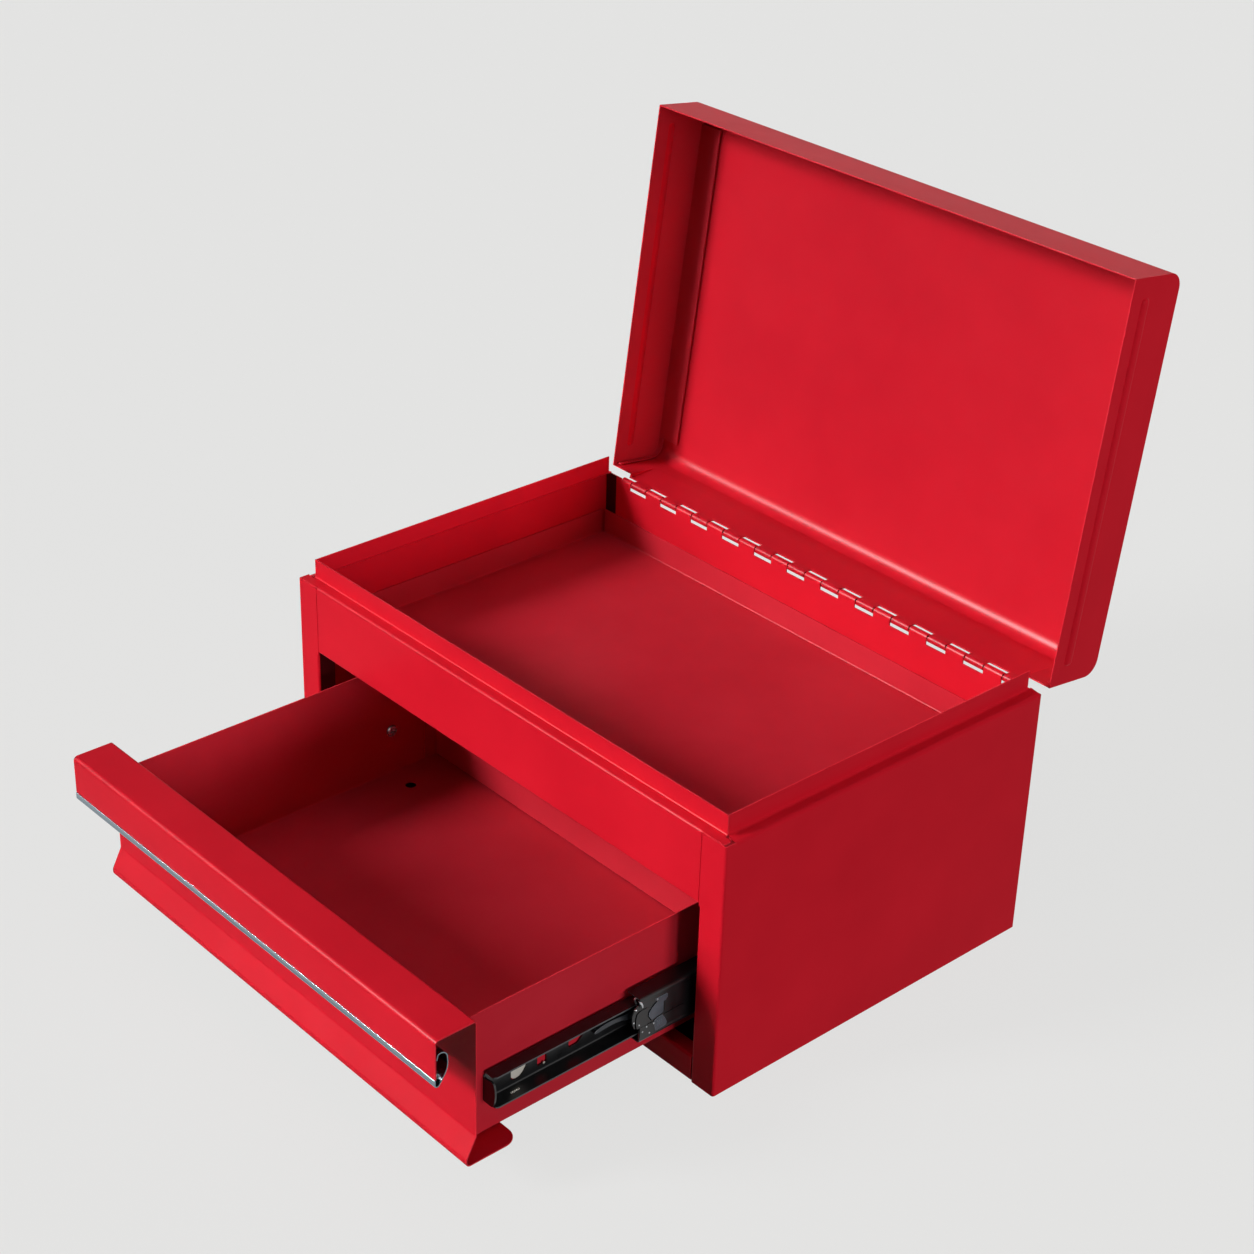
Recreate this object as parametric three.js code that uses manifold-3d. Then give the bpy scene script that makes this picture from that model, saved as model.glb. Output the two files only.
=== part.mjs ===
// One-drawer steel tool chest with an open-topped tray under a hinged lid.
// Millimetres, +Z up, X to the right, Y to the back. The origin is the middle
// of the footprint, on the plane that the chest stands on.
import * as THREE from 'three';
import { mergeVertices } from 'three/addons/utils/BufferGeometryUtils.js';
import Module from 'manifold-3d';

const wasm = await Module();
wasm.setup();

// Case
const caseWidth = 470;
const caseDepth = 309;
const shoulderHeight = 203.5;
const lipHeight = 15;
const sideShoulder = 9;
const frontShoulder = 9.4;
const sheet = 1.0;
const bendInside = 1.2;
const cornerInside = 2;
const seamGap = 0.2;
const stileWidth = 22.5;
const stileReturn = 15;
const railFoot = 146.6;
const railReturn = 12;
const sillHeight = 21.2;
const sillReturn = 12;
const rearWrap = 17;
const wrapOverlap = 1.5;
const floorFlange = 14;
const shoulderRise = 4.5;
const shoulderBend = 2.2;
const lipNotch = 2.0;
const weldLap = 0.4;
const ledgeEndGap = 0.4;
const ledgeEdgeSetback = 0.3;

// Tray above the drawer bay
const trayThickness = 1.0;
const trayFlangeHeight = 21.6;
const trayFrontGap = 3;

// Lid, drawn closed
const lidHeight = 51.5;
const lidRimGap = 1.5;
const lidFrontSetback = 2.5;
const lidRearInset = 4.3;
const lidLipGap = 0.5;
const lidBendInside = 9;
const leafCrease = 25.5;
const leafEndGap = 1.5;
const leafSlit = 0.6;
const capFlange = 22;
const capGap = 0.1;
const capFlangeInset = 18;
const beadWidth = 7;
const beadDepth = 1.6;
const beadFromRim = 15.5;
const beadEndInset = 15;
const lidOpenAngle = 97.4;

// Piano hinge
const hingeDrop = 4.5;
const knuckleRadius = 3;
const knuckleWall = 1.1;
const pinClearance = 0.3;
const knucklePitch = 18.25;
const knuckleEndGap = 0.5;
const hingeEndInset = 21.5;
const firstKnuckleEnd = 11.2;
const slotDepth = 3.7;

// Drawer, drawn closed
const drawerSideGap = 3;
const drawerOut = 182;
const frontStandOff = 0.5;
const pullTop = 140;
const pullDepth = 32.7;
const pullFaceHeight = 29.8;
const pullBend = 1.2;
const skirtTop = 49;
const skirtReach = 8;
const skirtRise = 5;
const returnLength = 43;
const returnCornerRadius = 11;
const floorLevel = 29.6;
const boxInset = 18;
const boxHeight = 98;
const boxPastSlide = 3.7;
const backFlange = 12;
const drainHole = 4.5;
const drainFromSide = 25.5;
const drainFromBack = 44;

// Trim strip on the lower edge of the pull
const trimThickness = 0.8;
const trimCurlHeight = 23.5;
const trimCurlDepth = 9;
const trimNose = 4.4;
const trimBend = 0.5;

// Ball-bearing slides
const slideLevel = 68.5;
const slideLength = 254;
const slideSetback = 19;
const wallGap = 0.3;
const runnerSteel = 1.2;
const railSteel = 1.0;
const runnerHeight = 24;
const runnerDepth = 8.9;
const middleHeight = 36;
const middleLip = 8.4;
const outerHeight = 46;
const outerLip = 8;
const webClearance = 0.35;
const cageSteel = 0.5;
const cageLength = 70;
const innerCagePlace = 0.32;
const outerCagePlace = 0.1575;
const cageBalls = 4;
const ballClearance = 0.3;
const middleShare = 1 / 3;
const bracketLip = 10;
const bracketHeight = 37;
const leverLength = 48;
const leverSetback = 88;
const leverHeight = 4.2;
const leverThickness = 4;
const screwHeadRadius = 4.8;
const screwHeadHeight = 2.2;
const screwShankRadius = 2;
const screwFromRear = 40;

// Derived places
const halfWidth = caseWidth / 2;
const hingeHalfLength = halfWidth - hingeEndInset;
const frontFace = -caseDepth / 2;
const rearFace = caseDepth / 2;
const jamb = halfWidth - stileWidth;
const lipFace = halfWidth - sideShoulder;
const lipFront = frontFace + frontShoulder;
const lipTop = shoulderHeight + lipHeight;
const lidRear = rearFace - lidRearInset;
const lipRear = lidRear - sheet - lidLipGap;
const backOuter = rearFace - sheet - seamGap;
const backInner = backOuter - sheet;
const hingeY = backInner + knuckleRadius;
const hingeZ = shoulderHeight - hingeDrop;
const pinRadius = knuckleRadius - knuckleWall - pinClearance;
const trayTop = railFoot - seamGap;
const trayUnder = trayTop - trayThickness;

const enamelRed = { color: 0xc8141f, roughness: 0.38, metalness: 0.05 };
const enamelRedDeep = { color: 0xa81a22, roughness: 0.42, metalness: 0.05 };
const polishedAluminium = { color: 0xd6d8da, roughness: 0.22, metalness: 1.0 };
const blackZinc = { color: 0x17181a, roughness: 0.45, metalness: 0.7 };
const blackPlastic = { color: 0x202124, roughness: 0.6, metalness: 0.0 };
const bearingSteel = { color: 0x8b8e92, roughness: 0.3, metalness: 0.9 };
const zincSteel = { color: 0xb4b7ba, roughness: 0.35, metalness: 0.9 };

function pointList(flat) {
  const list = [];
  for (const [x, y] of flat) {
    list.push(new THREE.Vector2(x, y));
  }
  return list;
}

// Outline of a folded sheet whose thickness lies to the left of the path, or to
// its right where thickness is negative. Every fold has the same inside radius
// unless radii gives one per corner.
function foldOutline(flat, thickness, insideRadius, radii = null, steps = 3) {
  const path = pointList(flat);
  const near = [];
  const far = [];
  for (let i = 0; i < path.length; i += 1) {
    const here = path[i];
    const before = i > 0 ? here.clone().sub(path[i - 1]).normalize() : null;
    const after = i < path.length - 1 ? path[i + 1].clone().sub(here).normalize() : null;
    if (!before || !after) {
      const along = before || after;
      const left = new THREE.Vector2(-along.y, along.x);
      near.push(here.clone());
      far.push(here.clone().addScaledVector(left, thickness));
      continue;
    }
    const turn = Math.atan2(before.cross(after), before.dot(after));
    const inside = radii ? radii[i - 1] : insideRadius;
    const turnsLeft = turn > 0;
    const pathOutside = turnsLeft === (thickness > 0);
    const nearRadius = pathOutside ? inside + Math.abs(thickness) : inside;
    const farRadius = pathOutside ? inside : inside + Math.abs(thickness);
    const setback = nearRadius * Math.tan(Math.abs(turn) / 2);
    const start = here.clone().addScaledVector(before, -setback);
    const side = new THREE.Vector2(-before.y, before.x).multiplyScalar(turnsLeft ? 1 : -1);
    const centre = start.clone().addScaledVector(side, nearRadius);
    for (let k = 0; k <= steps; k += 1) {
      const spoke = side.clone().negate().rotateAround(new THREE.Vector2(), turn * k / steps);
      near.push(centre.clone().addScaledVector(spoke, nearRadius));
      far.push(centre.clone().addScaledVector(spoke, farRadius));
    }
  }
  return new THREE.Shape(near.concat(far.reverse()));
}

function outline(flat) {
  return new THREE.Shape(pointList(flat));
}

// Outline of a rectangle with one radius at its four corners.
function roundedOutline(x0, y0, x1, y1, radius, steps = 4) {
  const corners = [
    [x1 - radius, y0 + radius, -Math.PI / 2],
    [x1 - radius, y1 - radius, 0],
    [x0 + radius, y1 - radius, Math.PI / 2],
    [x0 + radius, y0 + radius, Math.PI],
  ];
  const flat = [];
  for (const [cx, cy, from] of corners) {
    for (let k = 0; k <= steps; k += 1) {
      const angle = from + (Math.PI / 2) * k / steps;
      flat.push([cx + radius * Math.cos(angle), cy + radius * Math.sin(angle)]);
    }
  }
  return outline(flat);
}

// Outline of a slot with half-round ends, longer along its first axis.
function slotOutline(x0, y0, x1, y1, steps = 6) {
  const radius = (y1 - y0) / 2;
  const flat = [];
  for (const [cx, from] of [[x1 - radius, -Math.PI / 2], [x0 + radius, Math.PI / 2]]) {
    for (let k = 0; k <= steps; k += 1) {
      const angle = from + Math.PI * k / steps;
      flat.push([cx + radius * Math.cos(angle), y0 + radius + radius * Math.sin(angle)]);
    }
  }
  return outline(flat);
}

function extrude(shape, length) {
  return new THREE.ExtrudeGeometry(shape, { depth: length, bevelEnabled: false, curveSegments: 8 });
}

// Shape in (Y, Z), carried along X.
function alongX(shape, from, to) {
  const geometry = extrude(shape, to - from);
  const basis = new THREE.Matrix4().makeBasis(
    new THREE.Vector3(0, 1, 0),
    new THREE.Vector3(0, 0, 1),
    new THREE.Vector3(1, 0, 0),
  );
  basis.setPosition(from, 0, 0);
  return geometry.applyMatrix4(basis);
}

// Shape in (X, Z), carried along Y.
function alongY(shape, from, to) {
  const geometry = extrude(shape, to - from);
  const basis = new THREE.Matrix4().makeBasis(
    new THREE.Vector3(1, 0, 0),
    new THREE.Vector3(0, 0, 1),
    new THREE.Vector3(0, -1, 0),
  );
  basis.setPosition(0, to, 0);
  return geometry.applyMatrix4(basis);
}

// Shape in (X, Y), carried along Z.
function alongZ(shape, from, to) {
  return extrude(shape, to - from).translate(0, 0, from);
}

function block(x0, x1, y0, y1, z0, z1) {
  const geometry = new THREE.BoxGeometry(x1 - x0, y1 - y0, z1 - z0);
  return geometry.translate((x0 + x1) / 2, (y0 + y1) / 2, (z0 + z1) / 2);
}

function rodX(radius, from, to, y, z, sides = 16) {
  const geometry = new THREE.CylinderGeometry(radius, radius, to - from, sides);
  geometry.rotateZ(-Math.PI / 2);
  return geometry.translate((from + to) / 2, y, z);
}

function rodZ(radius, from, to, x, y, sides = 20) {
  const geometry = new THREE.CylinderGeometry(radius, radius, to - from, sides);
  geometry.rotateX(Math.PI / 2);
  return geometry.translate(x, y, (from + to) / 2);
}

function solid(geometry) {
  const bare = geometry.clone();
  bare.deleteAttribute('normal');
  bare.deleteAttribute('uv');
  const merged = mergeVertices(bare, 1e-4);
  return new wasm.Manifold(new wasm.Mesh({
    numProp: 3,
    vertProperties: new Float32Array(merged.attributes.position.array),
    triVerts: new Uint32Array(merged.index.array),
  }));
}

function joined(...pieces) {
  let whole = solid(pieces[0]);
  for (const piece of pieces.slice(1)) {
    whole = whole.add(solid(piece));
  }
  return whole;
}

function geometryOf(body) {
  const mesh = body.getMesh();
  const geometry = new THREE.BufferGeometry();
  geometry.setAttribute('position', new THREE.BufferAttribute(mesh.vertProperties, 3));
  geometry.setIndex(new THREE.BufferAttribute(mesh.triVerts, 1));
  geometry.computeVertexNormals();
  return geometry;
}

function mirroredX(body) {
  return body.mirror([1, 0, 0]);
}

const chest = new THREE.Group();
const lid = new THREE.Group();
const drawer = new THREE.Group();
const middleRails = new THREE.Group();
const innerCages = new THREE.Group();
const outerCages = new THREE.Group();
chest.add(lid, drawer, middleRails, innerCages, outerCages);

function place(group, name, body, look) {
  const geometry = body.isBufferGeometry ? body : geometryOf(body);
  const mesh = new THREE.Mesh(geometry, new THREE.MeshStandardMaterial(look));
  mesh.name = name;
  group.add(mesh);
  return mesh;
}

function placePair(group, name, body, look) {
  place(group, `${name}_right`, body, look);
  place(group, `${name}_left`, mirroredX(body), look);
}

// Side panel: wall, front stile with its inward return, rear wrap, shoulder and lip.
const stileTop = shoulderHeight - sheet - seamGap;
const jambSeam = jamb + bendInside + sheet + 0.5;
const wallPlan = foldOutline(
  [[halfWidth - rearWrap, rearFace], [halfWidth, rearFace], [halfWidth, frontFace], [jambSeam, frontFace]],
  -sheet,
  cornerInside,
  [cornerInside, cornerInside],
  4,
);
const jambPlan = foldOutline(
  [[jambSeam, frontFace], [jamb, frontFace], [jamb, frontFace + stileReturn]],
  -sheet,
  bendInside,
  null,
  4,
);
const jambTop = trayUnder - seamGap;
const upperStile = block(jamb, jambSeam, frontFace, frontFace + sheet, jambTop, stileTop);
const shoulderFoot = shoulderHeight - shoulderRise - 10;
const shoulderRear = rearFace - cornerInside - sheet + 0.5;
const wrapTop = hingeZ + 2;
const shoulderPath = [
  [halfWidth, shoulderFoot],
  [halfWidth, shoulderHeight - shoulderRise],
  [lipFace, shoulderHeight],
];
const shoulderProfile = foldOutline([...shoulderPath, [lipFace, lipTop]], sheet, shoulderBend);
const shoulderEndProfile = foldOutline(shoulderPath, sheet, shoulderBend);
const sideWall = joined(alongZ(wallPlan, 0, stileTop), alongZ(jambPlan, 0, jambTop), upperStile)
  .subtract(solid(block(jamb, halfWidth + 5, lipFront, shoulderRear, shoulderFoot, lipTop)))
  .subtract(solid(block(jamb, halfWidth + 5, shoulderRear, rearFace + 5, wrapTop, lipTop)))
  .add(solid(alongY(shoulderProfile, lipFront - weldLap, lipRear)))
  .add(solid(alongY(shoulderEndProfile, lipRear, shoulderRear + weldLap)))
  .subtract(solid(block(lipFace - 5, lipFace + lipNotch, lipFront - 1, lipFront + sheet + seamGap,
    shoulderHeight - sheet - 0.4, lipTop + 1)));
placePair(chest, 'side_panel', sideWall, enamelRed);

// Front rail above the drawer: face, return, ledge and lip.
const railReach = jamb - seamGap;
const ledgeEnd = halfWidth - sheet - ledgeEndGap;
const ledgeFront = frontFace + bendInside + sheet;
const ledgeRear = lipFront - bendInside;
const railProfile = foldOutline(
  [
    [frontFace + railReturn, railFoot],
    [frontFace, railFoot],
    [frontFace, shoulderHeight],
    [lipFront, shoulderHeight],
    [lipFront, lipTop],
  ],
  -sheet,
  bendInside,
);
const ledgeProfile = foldOutline(
  [[ledgeFront, shoulderHeight], [lipFront, shoulderHeight], [lipFront, lipTop]],
  -sheet,
  bendInside,
);
const ledgeTab = solid(alongZ(
  roundedOutline(railReach - 6, frontFace + ledgeEdgeSetback, ledgeEnd, ledgeRear, 2),
  shoulderHeight - sheet,
  shoulderHeight,
)).intersect(solid(block(railReach, halfWidth, frontFace, lipFront, 0, lipTop)));
const railBody = joined(
  alongX(railProfile, -railReach, railReach),
  alongX(ledgeProfile, railReach, lipFace),
  alongX(ledgeProfile, -lipFace, -railReach),
).add(ledgeTab).add(mirroredX(ledgeTab));
place(chest, 'front_rail_top', railBody, enamelRed);

// Bottom: floor, front sill and three upturned flanges.
const floorHalf = halfWidth - sheet - seamGap;
const floorRear = backInner - seamGap;
const sillProfile = foldOutline(
  [
    [frontFace + sillReturn, sillHeight],
    [frontFace, sillHeight],
    [frontFace, 0],
    [floorRear, 0],
    [floorRear, floorFlange],
  ],
  sheet,
  bendInside,
);
const floorProfile = foldOutline(
  [[-floorHalf, floorFlange], [-floorHalf, 0], [floorHalf, 0], [floorHalf, floorFlange]],
  sheet,
  bendInside,
);
const flangeFront = frontFace + stileReturn + 3;
const bottomBody = joined(
  alongX(sillProfile, -railReach, railReach),
  alongY(floorProfile, flangeFront, floorRear - sheet - 2),
);
place(chest, 'bottom_panel', bottomBody, enamelRed);

// Edges between knuckles, from the left end of the hinge to its right end.
const knuckleEdges = [-hingeHalfLength];
for (let x = -hingeHalfLength + firstKnuckleEnd; x < hingeHalfLength - 3; x += knucklePitch) {
  knuckleEdges.push(x);
}
knuckleEdges.push(hingeHalfLength);

function knuckleRing(from, to) {
  const ring = new THREE.Shape();
  const bore = new THREE.Path();
  ring.absarc(hingeY, hingeZ, knuckleRadius, 0, Math.PI * 2, false);
  bore.absarc(hingeY, hingeZ, knuckleRadius - knuckleWall, 0, Math.PI * 2, true);
  ring.holes.push(bore);
  return alongX(ring, from, to);
}

function withKnuckles(body, owner, tabFrom, tabTo) {
  let result = body;
  for (let i = 0; i < knuckleEdges.length - 1; i += 1) {
    const from = knuckleEdges[i] + (i > 0 ? knuckleEndGap / 2 : 0);
    const to = knuckleEdges[i + 1] - (i < knuckleEdges.length - 2 ? knuckleEndGap / 2 : 0);
    if (i % 2 !== owner) continue;
    const tab = block(from, to, backInner, backInner + knuckleWall, tabFrom, tabTo);
    result = result.add(solid(tab)).add(solid(knuckleRing(from, to)));
  }
  return result;
}

// Back panel with the fixed knuckles of the piano hinge.
const backHalf = halfWidth - rearWrap + wrapOverlap;
const slotFoot = hingeZ - knuckleRadius - slotDepth;
const backTop = hingeZ + knuckleRadius;
const backPlate = joined(
  block(-backHalf, backHalf, backInner, backOuter, 0, slotFoot),
  block(-backHalf, -hingeHalfLength, backInner, backOuter, slotFoot - 1, backTop),
  block(hingeHalfLength + 1, backHalf, backInner, backOuter, slotFoot - 1, backTop),
);
place(chest, 'back_panel', withKnuckles(backPlate, 0, slotFoot - 1, hingeZ), enamelRed);
place(chest, 'hinge_pin', rodX(pinRadius, -hingeHalfLength, hingeHalfLength, hingeY, hingeZ), zincSteel);

// Tray pan: the floor of the top compartment with flanges up the walls.
const panHalf = halfWidth - sheet - seamGap;
const panRear = backInner - seamGap;
const panFront = frontFace + trayFrontGap;
const panAcross = foldOutline(
  [
    [-panHalf, trayUnder + trayFlangeHeight],
    [-panHalf, trayUnder],
    [panHalf, trayUnder],
    [panHalf, trayUnder + trayFlangeHeight],
  ],
  trayThickness,
  bendInside,
);
const panAlong = foldOutline(
  [[panFront, trayUnder], [panRear, trayUnder], [panRear, trayUnder + trayFlangeHeight]],
  trayThickness,
  bendInside,
);
const panBody = joined(
  alongY(panAcross, panFront, panRear - trayThickness - bendInside),
  alongX(panAlong, -panHalf + trayThickness + bendInside, panHalf - trayThickness - bendInside),
);
place(chest, 'tray_pan', panBody, enamelRed);

// Lid: front, top and rear in one sheet, ending in a leaf with the moving knuckles.
const rimLevel = shoulderHeight + lidRimGap;
const lidTopLevel = rimLevel + lidHeight;
const lidFront = frontFace + lidFrontSetback;
const creaseLevel = lidTopLevel - leafCrease;
const leafFoot = hingeZ + knuckleRadius + slotDepth;
const lidProfile = foldOutline(
  [
    [lidFront, rimLevel],
    [lidFront, lidTopLevel],
    [lidRear, lidTopLevel],
    [lidRear, creaseLevel],
    [backInner + sheet, leafFoot + 3],
    [backInner + sheet, leafFoot],
  ],
  -sheet,
  lidBendInside,
  [lidBendInside, lidBendInside, 6, 6],
  4,
);
const lidHalf = halfWidth - sheet;
const leafHalf = hingeHalfLength - leafEndGap;
const shellProfile = foldOutline(
  [[lidFront, rimLevel], [lidFront, lidTopLevel], [lidRear, lidTopLevel], [lidRear, rimLevel]],
  -sheet,
  lidBendInside,
  null,
  4,
);
const leafWindow = block(-leafHalf - leafSlit, leafHalf + leafSlit,
  lidRear - sheet - 1, lidRear + 1, rimLevel - 1, creaseLevel + 2);
let lidSheet = solid(alongX(shellProfile, -lidHalf, lidHalf))
  .subtract(solid(leafWindow))
  .add(solid(alongX(lidProfile, -leafHalf, leafHalf)));
lidSheet = withKnuckles(lidSheet, 1, hingeZ, leafFoot + 1);

// End cap: plate with a pressed bead and a flange under the top sheet.
const capEnd = lidRear;
function capOutline() {
  const shape = new THREE.Shape();
  const radius = lidBendInside + sheet;
  const flat = [[lidFront, rimLevel], [capEnd, rimLevel]];
  for (let k = 0; k <= 6; k += 1) {
    const angle = (Math.PI / 2) * k / 6;
    flat.push([
      capEnd - radius + radius * Math.cos(angle),
      lidTopLevel - radius + radius * Math.sin(angle),
    ]);
  }
  for (let k = 0; k <= 6; k += 1) {
    const angle = Math.PI / 2 + (Math.PI / 2) * k / 6;
    flat.push([
      lidFront + radius + radius * Math.cos(angle),
      lidTopLevel - radius + radius * Math.sin(angle),
    ]);
  }
  shape.setFromPoints(pointList(flat));
  return shape;
}
const beadLevel = rimLevel + beadFromRim;
function beadOutline(grow) {
  return slotOutline(
    lidFront + beadEndInset - grow,
    beadLevel - beadWidth / 2 - grow,
    capEnd - beadEndInset + grow,
    beadLevel + beadWidth / 2 + grow,
  );
}
const flangeLevel = lidTopLevel - sheet - seamGap;
const endCap = joined(
  alongX(capOutline(), lidHalf + capGap, halfWidth),
  alongX(beadOutline(0), halfWidth - sheet, halfWidth + beadDepth - sheet),
  block(lidHalf - capFlange, lidHalf + capGap + 0.4, lidFront + capFlangeInset,
    capEnd - capFlangeInset, flangeLevel - sheet, flangeLevel),
).subtract(solid(alongX(beadOutline(-sheet), lidHalf - 1, halfWidth + beadDepth - 2 * sheet)));

const lidPivot = new THREE.Group();
lidPivot.position.set(0, -hingeY, -hingeZ);
lid.position.set(0, hingeY, hingeZ);
lid.rotation.x = -THREE.MathUtils.degToRad(lidOpenAngle);
lid.add(lidPivot);
place(lidPivot, 'lid_panel', lidSheet, enamelRed);
placePair(lidPivot, 'lid_end_cap', endCap, enamelRed);

// Drawer front: pull channel, recessed face, flared skirt and return in one sheet.
const drawerHalf = jamb - drawerSideGap;
const faceY = frontFace - frontStandOff;
const pullFace = faceY - pullDepth;
const pullFoot = pullTop - pullFaceHeight;
const returnTop = floorLevel - seamGap;
const returnUnder = returnTop - sheet;
const frontProfile = foldOutline(
  [
    [pullFace, pullFoot],
    [pullFace, pullTop],
    [faceY, pullTop],
    [faceY, skirtTop],
    [faceY - skirtReach, returnUnder + skirtRise],
    [faceY - skirtReach, returnUnder],
    [faceY - skirtReach + returnLength, returnUnder],
  ],
  -sheet,
  pullBend,
  [pullBend, pullBend, 4, 1.6, 1.6],
  4,
);
const drawerFront = solid(alongX(frontProfile, -drawerHalf, drawerHalf));
const returnRear = faceY - skirtReach + returnLength;
const earCut = solid(alongZ(
  roundedOutline(-drawerHalf, pullFace - 60, drawerHalf, returnRear, returnCornerRadius, 6),
  returnUnder - 5,
  pullTop + 5,
));
place(drawer, 'drawer_front', drawerFront.intersect(earCut), enamelRed);

// Trim strip: curls behind the pull and shows as a bright nose under its face.
const curlFront = pullFace + sheet + 0.15;
const noseFoot = pullFoot - seamGap - trimNose;
const trimProfile = foldOutline(
  [
    [curlFront, noseFoot + trimCurlHeight - 4.5],
    [curlFront + 1.4, noseFoot + trimCurlHeight - 1],
    [curlFront + 4.2, noseFoot + trimCurlHeight],
    [curlFront + 7, noseFoot + trimCurlHeight - 3],
    [curlFront + trimCurlDepth - 1, noseFoot + trimCurlHeight * 0.55],
    [curlFront + 6.4, noseFoot + trimCurlHeight * 0.3],
    [curlFront + 0.6, noseFoot],
    [pullFace, noseFoot + 1.4],
    [pullFace, pullFoot - seamGap],
  ],
  -trimThickness,
  trimBend,
  null,
  3,
);
place(drawer, 'drawer_trim', alongX(trimProfile, -drawerHalf, drawerHalf), polishedAluminium);

// Drawer box: floor and two walls in one sheet, and a separate back.
const boxHalf = drawerHalf - boxInset;
const boxTop = floorLevel + boxHeight;
const boxFront = faceY + sheet + seamGap;
const slideFront = frontFace + slideSetback;
const slideRearEnd = slideFront + slideLength;
const boxRear = slideRearEnd + boxPastSlide;
const boxProfile = foldOutline(
  [[-boxHalf, boxTop], [-boxHalf, floorLevel], [boxHalf, floorLevel], [boxHalf, boxTop]],
  sheet,
  bendInside,
);
const screwY = slideRearEnd - screwFromRear;
const drainX = -boxHalf + drainFromSide;
const boxBody = solid(alongY(boxProfile, boxFront, boxRear))
  .subtract(solid(rodZ(drainHole, floorLevel - 2, floorLevel + 3, drainX, boxRear - drainFromBack)))
  .subtract(solid(rodX(screwShankRadius + 0.3, -boxHalf - 5, boxHalf + 5, screwY, slideLevel, 12)));
place(drawer, 'drawer_box', boxBody, enamelRedDeep);
const backRearFace = boxRear - 0.2;
const backHalfWidth = boxHalf - sheet - seamGap;
const backPlan = foldOutline(
  [
    [-backHalfWidth, backRearFace - backFlange],
    [-backHalfWidth, backRearFace],
    [backHalfWidth, backRearFace],
    [backHalfWidth, backRearFace - backFlange],
  ],
  -sheet,
  bendInside,
);
place(drawer, 'drawer_back', alongZ(backPlan, floorLevel + sheet + bendInside, boxTop), enamelRedDeep);

// Slide sections, drawn for the right side and mirrored to the left.
const runnerX = boxHalf + wallGap;
const runnerTip = runnerX + runnerSteel + runnerDepth - 1.2;
const innerCageX = runnerTip + webClearance;
const middleX = innerCageX + cageSteel + webClearance;
const outerCageX = middleX + railSteel + webClearance;
const outerX = outerCageX + cageSteel + webClearance - 0.05;
const bracketX = outerX + railSteel + seamGap;

function channelOutline(webOuter, tip, height, steel, inside) {
  const low = slideLevel - height / 2;
  const high = slideLevel + height / 2;
  const inward = tip > webOuter ? 1 : -1;
  return foldOutline(
    [[tip, high], [webOuter, high], [webOuter, low], [tip, low]],
    steel * inward,
    inside,
  );
}
const runnerBody = solid(alongY(
  channelOutline(runnerX, runnerTip, runnerHeight, runnerSteel, 1.6), slideFront, slideRearEnd))
  .subtract(solid(rodX(screwShankRadius + 0.3, runnerX - 2, runnerX + 4, screwY, slideLevel, 12)));
function webWindow(from, length, low, high, radius) {
  const shape = roundedOutline(slideFront + from, slideLevel + low,
    slideFront + from + length, slideLevel + high, radius, 3);
  return solid(alongX(shape, runnerX - 2, runnerX + 3));
}
const runnerCut = runnerBody
  .subtract(webWindow(22, 14, -6, 3.5, 3))
  .subtract(webWindow(44, 8, -3.5, 2, 1))
  .subtract(webWindow(70, 13, -1, 4, 1.2));
placePair(drawer, 'slide_runner', runnerCut, blackZinc);

const leverFront = slideFront + leverSetback;
const leverShape = outline([
  [leverFront, slideLevel + 0.2],
  [leverFront + 4, slideLevel + 1.6],
  [leverFront + leverLength * 0.45, slideLevel + leverHeight * 0.62],
  [leverFront + leverLength * 0.75, slideLevel + leverHeight * 0.5],
  [leverFront + leverLength, slideLevel + leverHeight * 0.5],
  [leverFront + leverLength, slideLevel - leverHeight],
  [leverFront + leverLength * 0.75, slideLevel - leverHeight],
  [leverFront + leverLength * 0.6, slideLevel - leverHeight * 0.35],
  [leverFront + leverLength * 0.3, slideLevel - leverHeight * 0.25],
  [leverFront + 3, slideLevel - 1.4],
]);
const leverX = runnerX + runnerSteel + 0.4;
placePair(drawer, 'release_lever', solid(alongX(leverShape, leverX, leverX + leverThickness)), blackPlastic);

const headX = -boxHalf + sheet;
const screwBody = joined(
  rodX(screwHeadRadius, headX + 0.05, headX + screwHeadHeight, screwY, slideLevel, 16),
  rodX(screwShankRadius, headX - sheet - runnerSteel - wallGap - 0.8, headX + 0.4, screwY, slideLevel, 12),
);
place(drawer, 'drawer_screw_left', screwBody, zincSteel);
place(drawer, 'drawer_screw_right', mirroredX(screwBody), zincSteel);

// Middle rail with a plastic latch let into its web.
const middleBody = solid(alongY(
  channelOutline(middleX + railSteel, middleX + railSteel - middleLip, middleHeight, railSteel, 1.4),
  slideFront,
  slideRearEnd,
));
function latchOutline(grow) {
  const y = slideFront + 11;
  const z = slideLevel - 16 + 0.6;
  return outline([
    [y - grow, z - grow],
    [y + 12 + grow, z - grow],
    [y + 14.5 + grow, z + 3],
    [y + 14.5 + grow, z + 8],
    [y + 12 + grow, z + 10.5 + grow],
    [y + 9 + grow, z + 10.5 + grow],
    [y + 13 + grow, z + 18.5],
    [y + 15.5 + grow, z + 19.5],
    [y + 15.5 + grow, z + 24 + grow],
    [y + 6 - grow, z + 24 + grow],
    [y + 6 - grow, z + 20],
    [y + 8 - grow, z + 18.5],
    [y + 1.5 - grow, z + 11],
    [y - grow, z + 9],
  ]);
}
const latchThickness = railSteel + webClearance;
const middleCut = middleBody.subtract(
  solid(alongX(latchOutline(0.3), middleX - 1, middleX + railSteel + 1)));
placePair(middleRails, 'slide_middle_rail', middleCut, blackZinc);
placePair(middleRails, 'slide_latch',
  solid(alongX(latchOutline(0), middleX + 0.05, middleX + latchThickness)), blackPlastic);

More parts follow.
